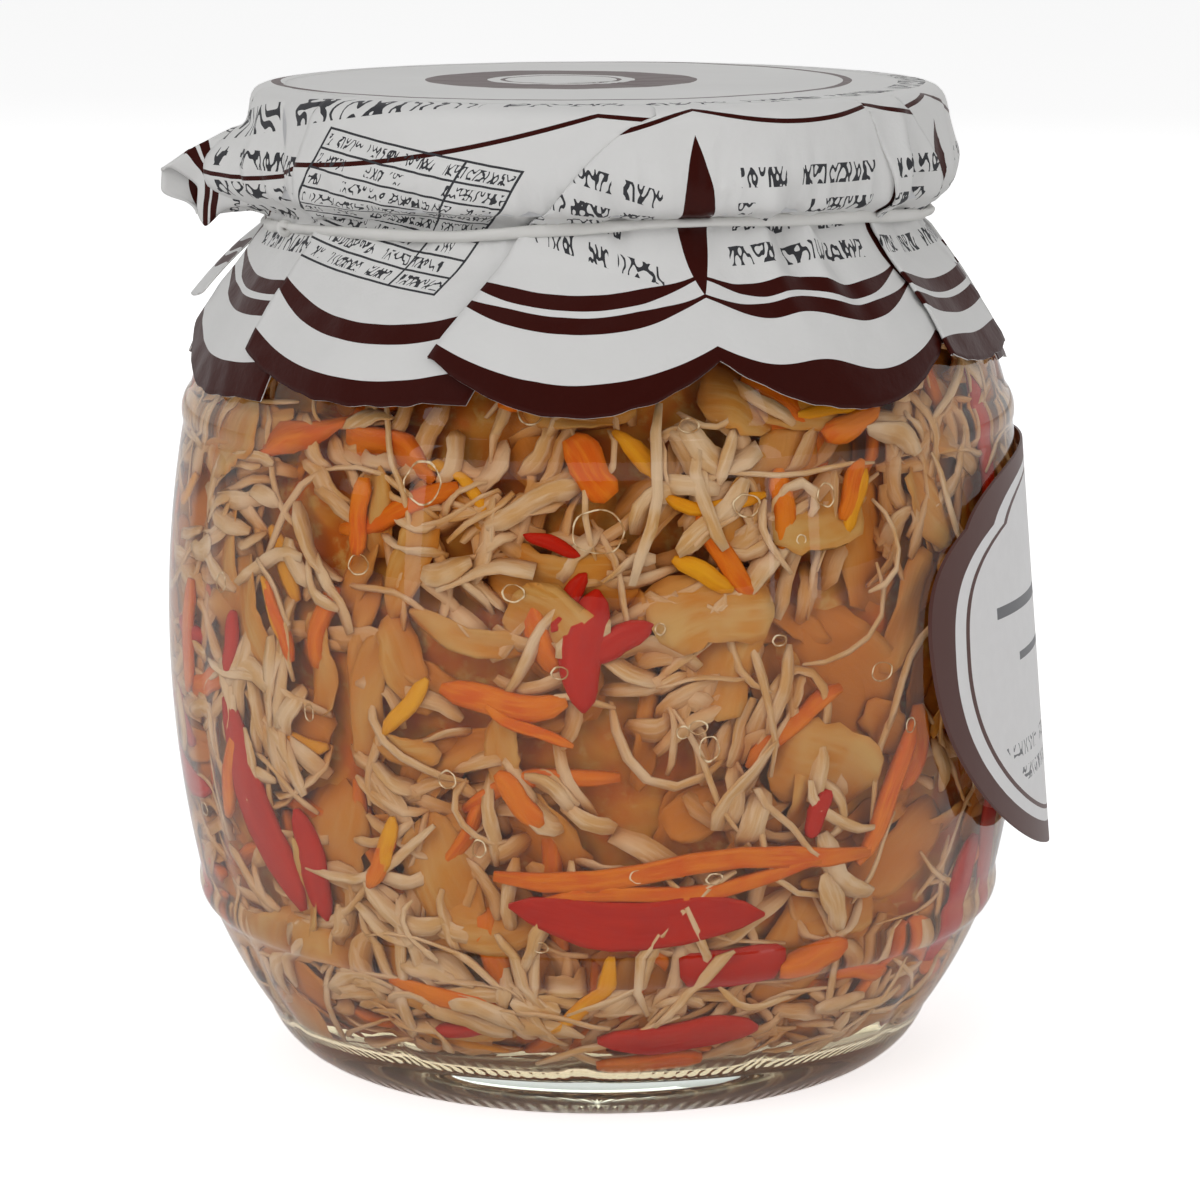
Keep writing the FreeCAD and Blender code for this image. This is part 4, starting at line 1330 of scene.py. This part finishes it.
def label_material():
    """White label with a brown rim along its outline and generic strokes inside."""
    made, bench = material("label_paper")
    place = object_place(bench)
    parts = bench.split(place)
    turn = bench.math("ARCTAN2", parts[1], parts[0])
    across = bench.times(turn, 54.0)
    height = bench.times(parts[2], 1000.0)
    up = bench.minus(height, LABEL_HEIGHT)

    def lobe(half_width, reach, power, rise):
        wide = bench.power(bench.size(bench.ratio(across, half_width)), power)
        tall = bench.power(bench.size(bench.ratio(rise, reach)), power)
        return bench.power(bench.plus(wide, tall), 1.0 / power)

    above = bench.over(up, 0.0)
    upper = lobe(LABEL_HALF_WIDTH, 19.2, 3.0, up)
    lower = lobe(LABEL_HALF_WIDTH, 28.5, 2.1, up)
    field = bench.plus(bench.times(above, upper), bench.times(bench.minus(1.0, above), lower))
    crest = lobe(38.0, 12.0, 2.5, bench.minus(height, CREST_HEIGHT))
    field_edge = bench.times(bench.minus(1.0, field), 28.0)
    crest_edge = bench.times(bench.minus(1.0, crest), 16.0)
    inset = bench.most(field_edge, crest_edge)
    brown = bench.most(bench.under(inset, 2.6), bench.between(inset, 4.0, 4.5))
    wide = bench.size(across)
    upper_line = bench.times(bench.between(up, 3.4, 4.8), bench.under(wide, 31.0))
    lower_line = bench.times(bench.between(up, -2.6, -1.6), bench.under(wide, 24.0))
    words = bench.most(upper_line, lower_line)
    small = strokes(bench, across, bench.ratio(bench.plus(up, 18.0), 3.2), 0.9, 0.06)
    small = bench.times(small, bench.between(up, -17.9, -11.6))
    ink = bench.times(bench.most(words, small), bench.over(inset, 6.0))
    sheen = bench.noise(place, 500.0, 3.0, 0.6)
    paper = bench.blend(sheen, (0.72, 0.71, 0.71), (0.79, 0.78, 0.78))
    colour = bench.blend(brown, paper, (0.085, 0.030, 0.024))
    colour = bench.blend(ink, colour, (0.13, 0.13, 0.14))
    surface = shader(bench, colour, 0.42, bench.bump(sheen, 0.15, 0.0001), IOR=1.45)
    return finish_material(made, bench, surface)


def repaint(name, made):
    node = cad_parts[name]
    node.data.materials.clear()
    node.data.materials.append(made)


# ---- Build ----

make_glass()
make_brine()
make_core()
# The third colour of each vegetable is its painted amber shade deep in the brine.
strips("cabbage_shreds", cabbage_cuts(), 7, 6, vegetable_material(
    "cabbage", (0.70, 0.51, 0.37), (0.58, 0.33, 0.14), (0.53, 0.18, 0.022), 1.5, 0.34))
strips("cabbage_leaves", leaf_cuts(), 11, 12, vegetable_material(
    "cabbage_leaf", (0.56, 0.33, 0.12), (0.52, 0.21, 0.030), (0.52, 0.15, 0.012), 0.8, 0.34))
strips("carrot_strips", carrot_cuts(), 9, 8, vegetable_material(
    "carrot", (0.70, 0.19, 0.010), (0.62, 0.10, 0.004), (0.52, 0.12, 0.01), 1.6, 0.34, 0.7), square=3.4)
strips("pepper_pieces", pepper_cuts(), 13, 12, vegetable_material(
    "red_pepper", (0.48, 0.012, 0.001), (0.40, 0.006, 0.0005), (0.48, 0.045, 0.003),
    0.7, 0.24, 0.55), square=2.6)
strips("yellow_pepper", yellow_cuts(), 8, 8, vegetable_material(
    "yellow_pepper", (0.74, 0.34, 0.012), (0.66, 0.24, 0.006), (0.54, 0.17, 0.02), 1.2, 0.3, 0.7), square=2.6)
make_bubbles()
make_hood()
make_band()
repaint("lid", steel_material())
repaint("front_label", label_material())


# ---- Floor, light and camera ----

def make_stage():
    bpy.ops.object.select_all(action="DESELECT")
    bpy.ops.mesh.primitive_plane_add(size=6.0, location=(0.0, 0.0, 0.0))
    floor = fresh("floor")
    made, bench = material("floor")
    diffuse = bench.add("ShaderNodeBsdfDiffuse")
    bench.feed(diffuse.inputs[0], (0.92, 0.92, 0.92))
    glow = bench.add("ShaderNodeEmission")
    path = bench.add("ShaderNodeLightPath")
    seen = bench.times(bench.most(path.outputs["Is Camera Ray"], path.outputs["Is Transmission Ray"]), 0.62)
    mirrored = bench.times(path.outputs["Is Glossy Ray"], 0.12)
    bench.feed(glow.inputs["Strength"], bench.most(seen, mirrored))
    both = bench.add("ShaderNodeAddShader")
    bench.feed(both.inputs[0], diffuse.outputs[0])
    bench.feed(both.inputs[1], glow.outputs[0])
    floor.data.materials.append(finish_material(made, bench, both.outputs[0]))
    world = bpy.data.worlds.new("studio")
    world.use_nodes = True
    bpy.context.scene.world = world
    bench = Bench(world.node_tree)
    world.node_tree.nodes.clear()
    path = bench.add("ShaderNodeLightPath")
    seen = bench.most(path.outputs["Is Camera Ray"], path.outputs["Is Transmission Ray"])
    seen = bench.most(seen, path.outputs["Is Glossy Ray"])
    toward = bench.add("ShaderNodeTexCoord").outputs["Generated"]
    parts = bench.split(toward)
    dim = bench.ramp(parts[1], -0.5, 0.3, 0.08, 1.0)
    shared = bench.minus(1.0, bench.times(dim, 0.8))
    mirrored = bench.times(path.outputs["Is Glossy Ray"], shared)
    sky = bench.add("ShaderNodeBackground")
    bench.feed(sky.inputs["Color"], (1.0, 1.0, 1.0))
    bench.feed(sky.inputs["Strength"], bench.minus(bench.ramp(seen, 0.0, 1.0, 0.335, 1.0), mirrored))
    output = bench.add("ShaderNodeOutputWorld")
    bench.feed(output.inputs["Surface"], sky.outputs[0])


def softbox(name, place, size, power, mirrored=False):
    lamp = bpy.data.lights.new(name, "AREA")
    lamp.shape = "RECTANGLE"
    lamp.size, lamp.size_y = size
    lamp.energy = power
    holder = bpy.data.objects.new(name, lamp)
    bpy.context.scene.collection.objects.link(holder)
    holder.location = place
    aim = Vector((0.0, 0.0, 0.06)) - Vector(place)
    holder.rotation_euler = aim.to_track_quat("-Z", "Y").to_euler()
    holder.visible_glossy = mirrored


def make_camera():
    away = 0.580
    turn = math.radians(-5.0)
    lift = math.radians(10.25)
    target = Vector((0.0, 0.0, 0.0563))
    direction = Vector((math.sin(turn) * math.cos(lift), -math.cos(turn) * math.cos(lift), math.sin(lift)))
    lens = bpy.data.cameras.new("camera")
    lens.sensor_width = 36.0
    lens.lens = 140.07
    lens.shift_x = 0.0017
    lens.clip_start = 0.01
    holder = bpy.data.objects.new("camera", lens)
    bpy.context.scene.collection.objects.link(holder)
    holder.location = target + direction * away
    holder.rotation_euler = (-direction).to_track_quat("-Z", "Y").to_euler()
    bpy.context.scene.camera = holder


make_stage()
softbox("key", (-0.7, -0.8, 0.7), (1.2, 1.0), 6.0)
softbox("fill", (0.9, -0.7, 0.4), (1.0, 1.2), 3.4)
softbox("rear", (0.3, 0.9, 0.8), (1.0, 0.8), 3.0)
softbox("left_strip", (-1.0, -0.75, 0.25), (0.10, 1.1), 0.55, mirrored=True)
softbox("right_strip", (0.85, -0.95, 0.25), (0.10, 1.1), 0.55, mirrored=True)
softbox("top_strip", (-0.1, -0.55, 1.2), (1.1, 0.12), 0.6, mirrored=True)
make_camera()
bpy.context.scene.view_settings.view_transform = "Standard"
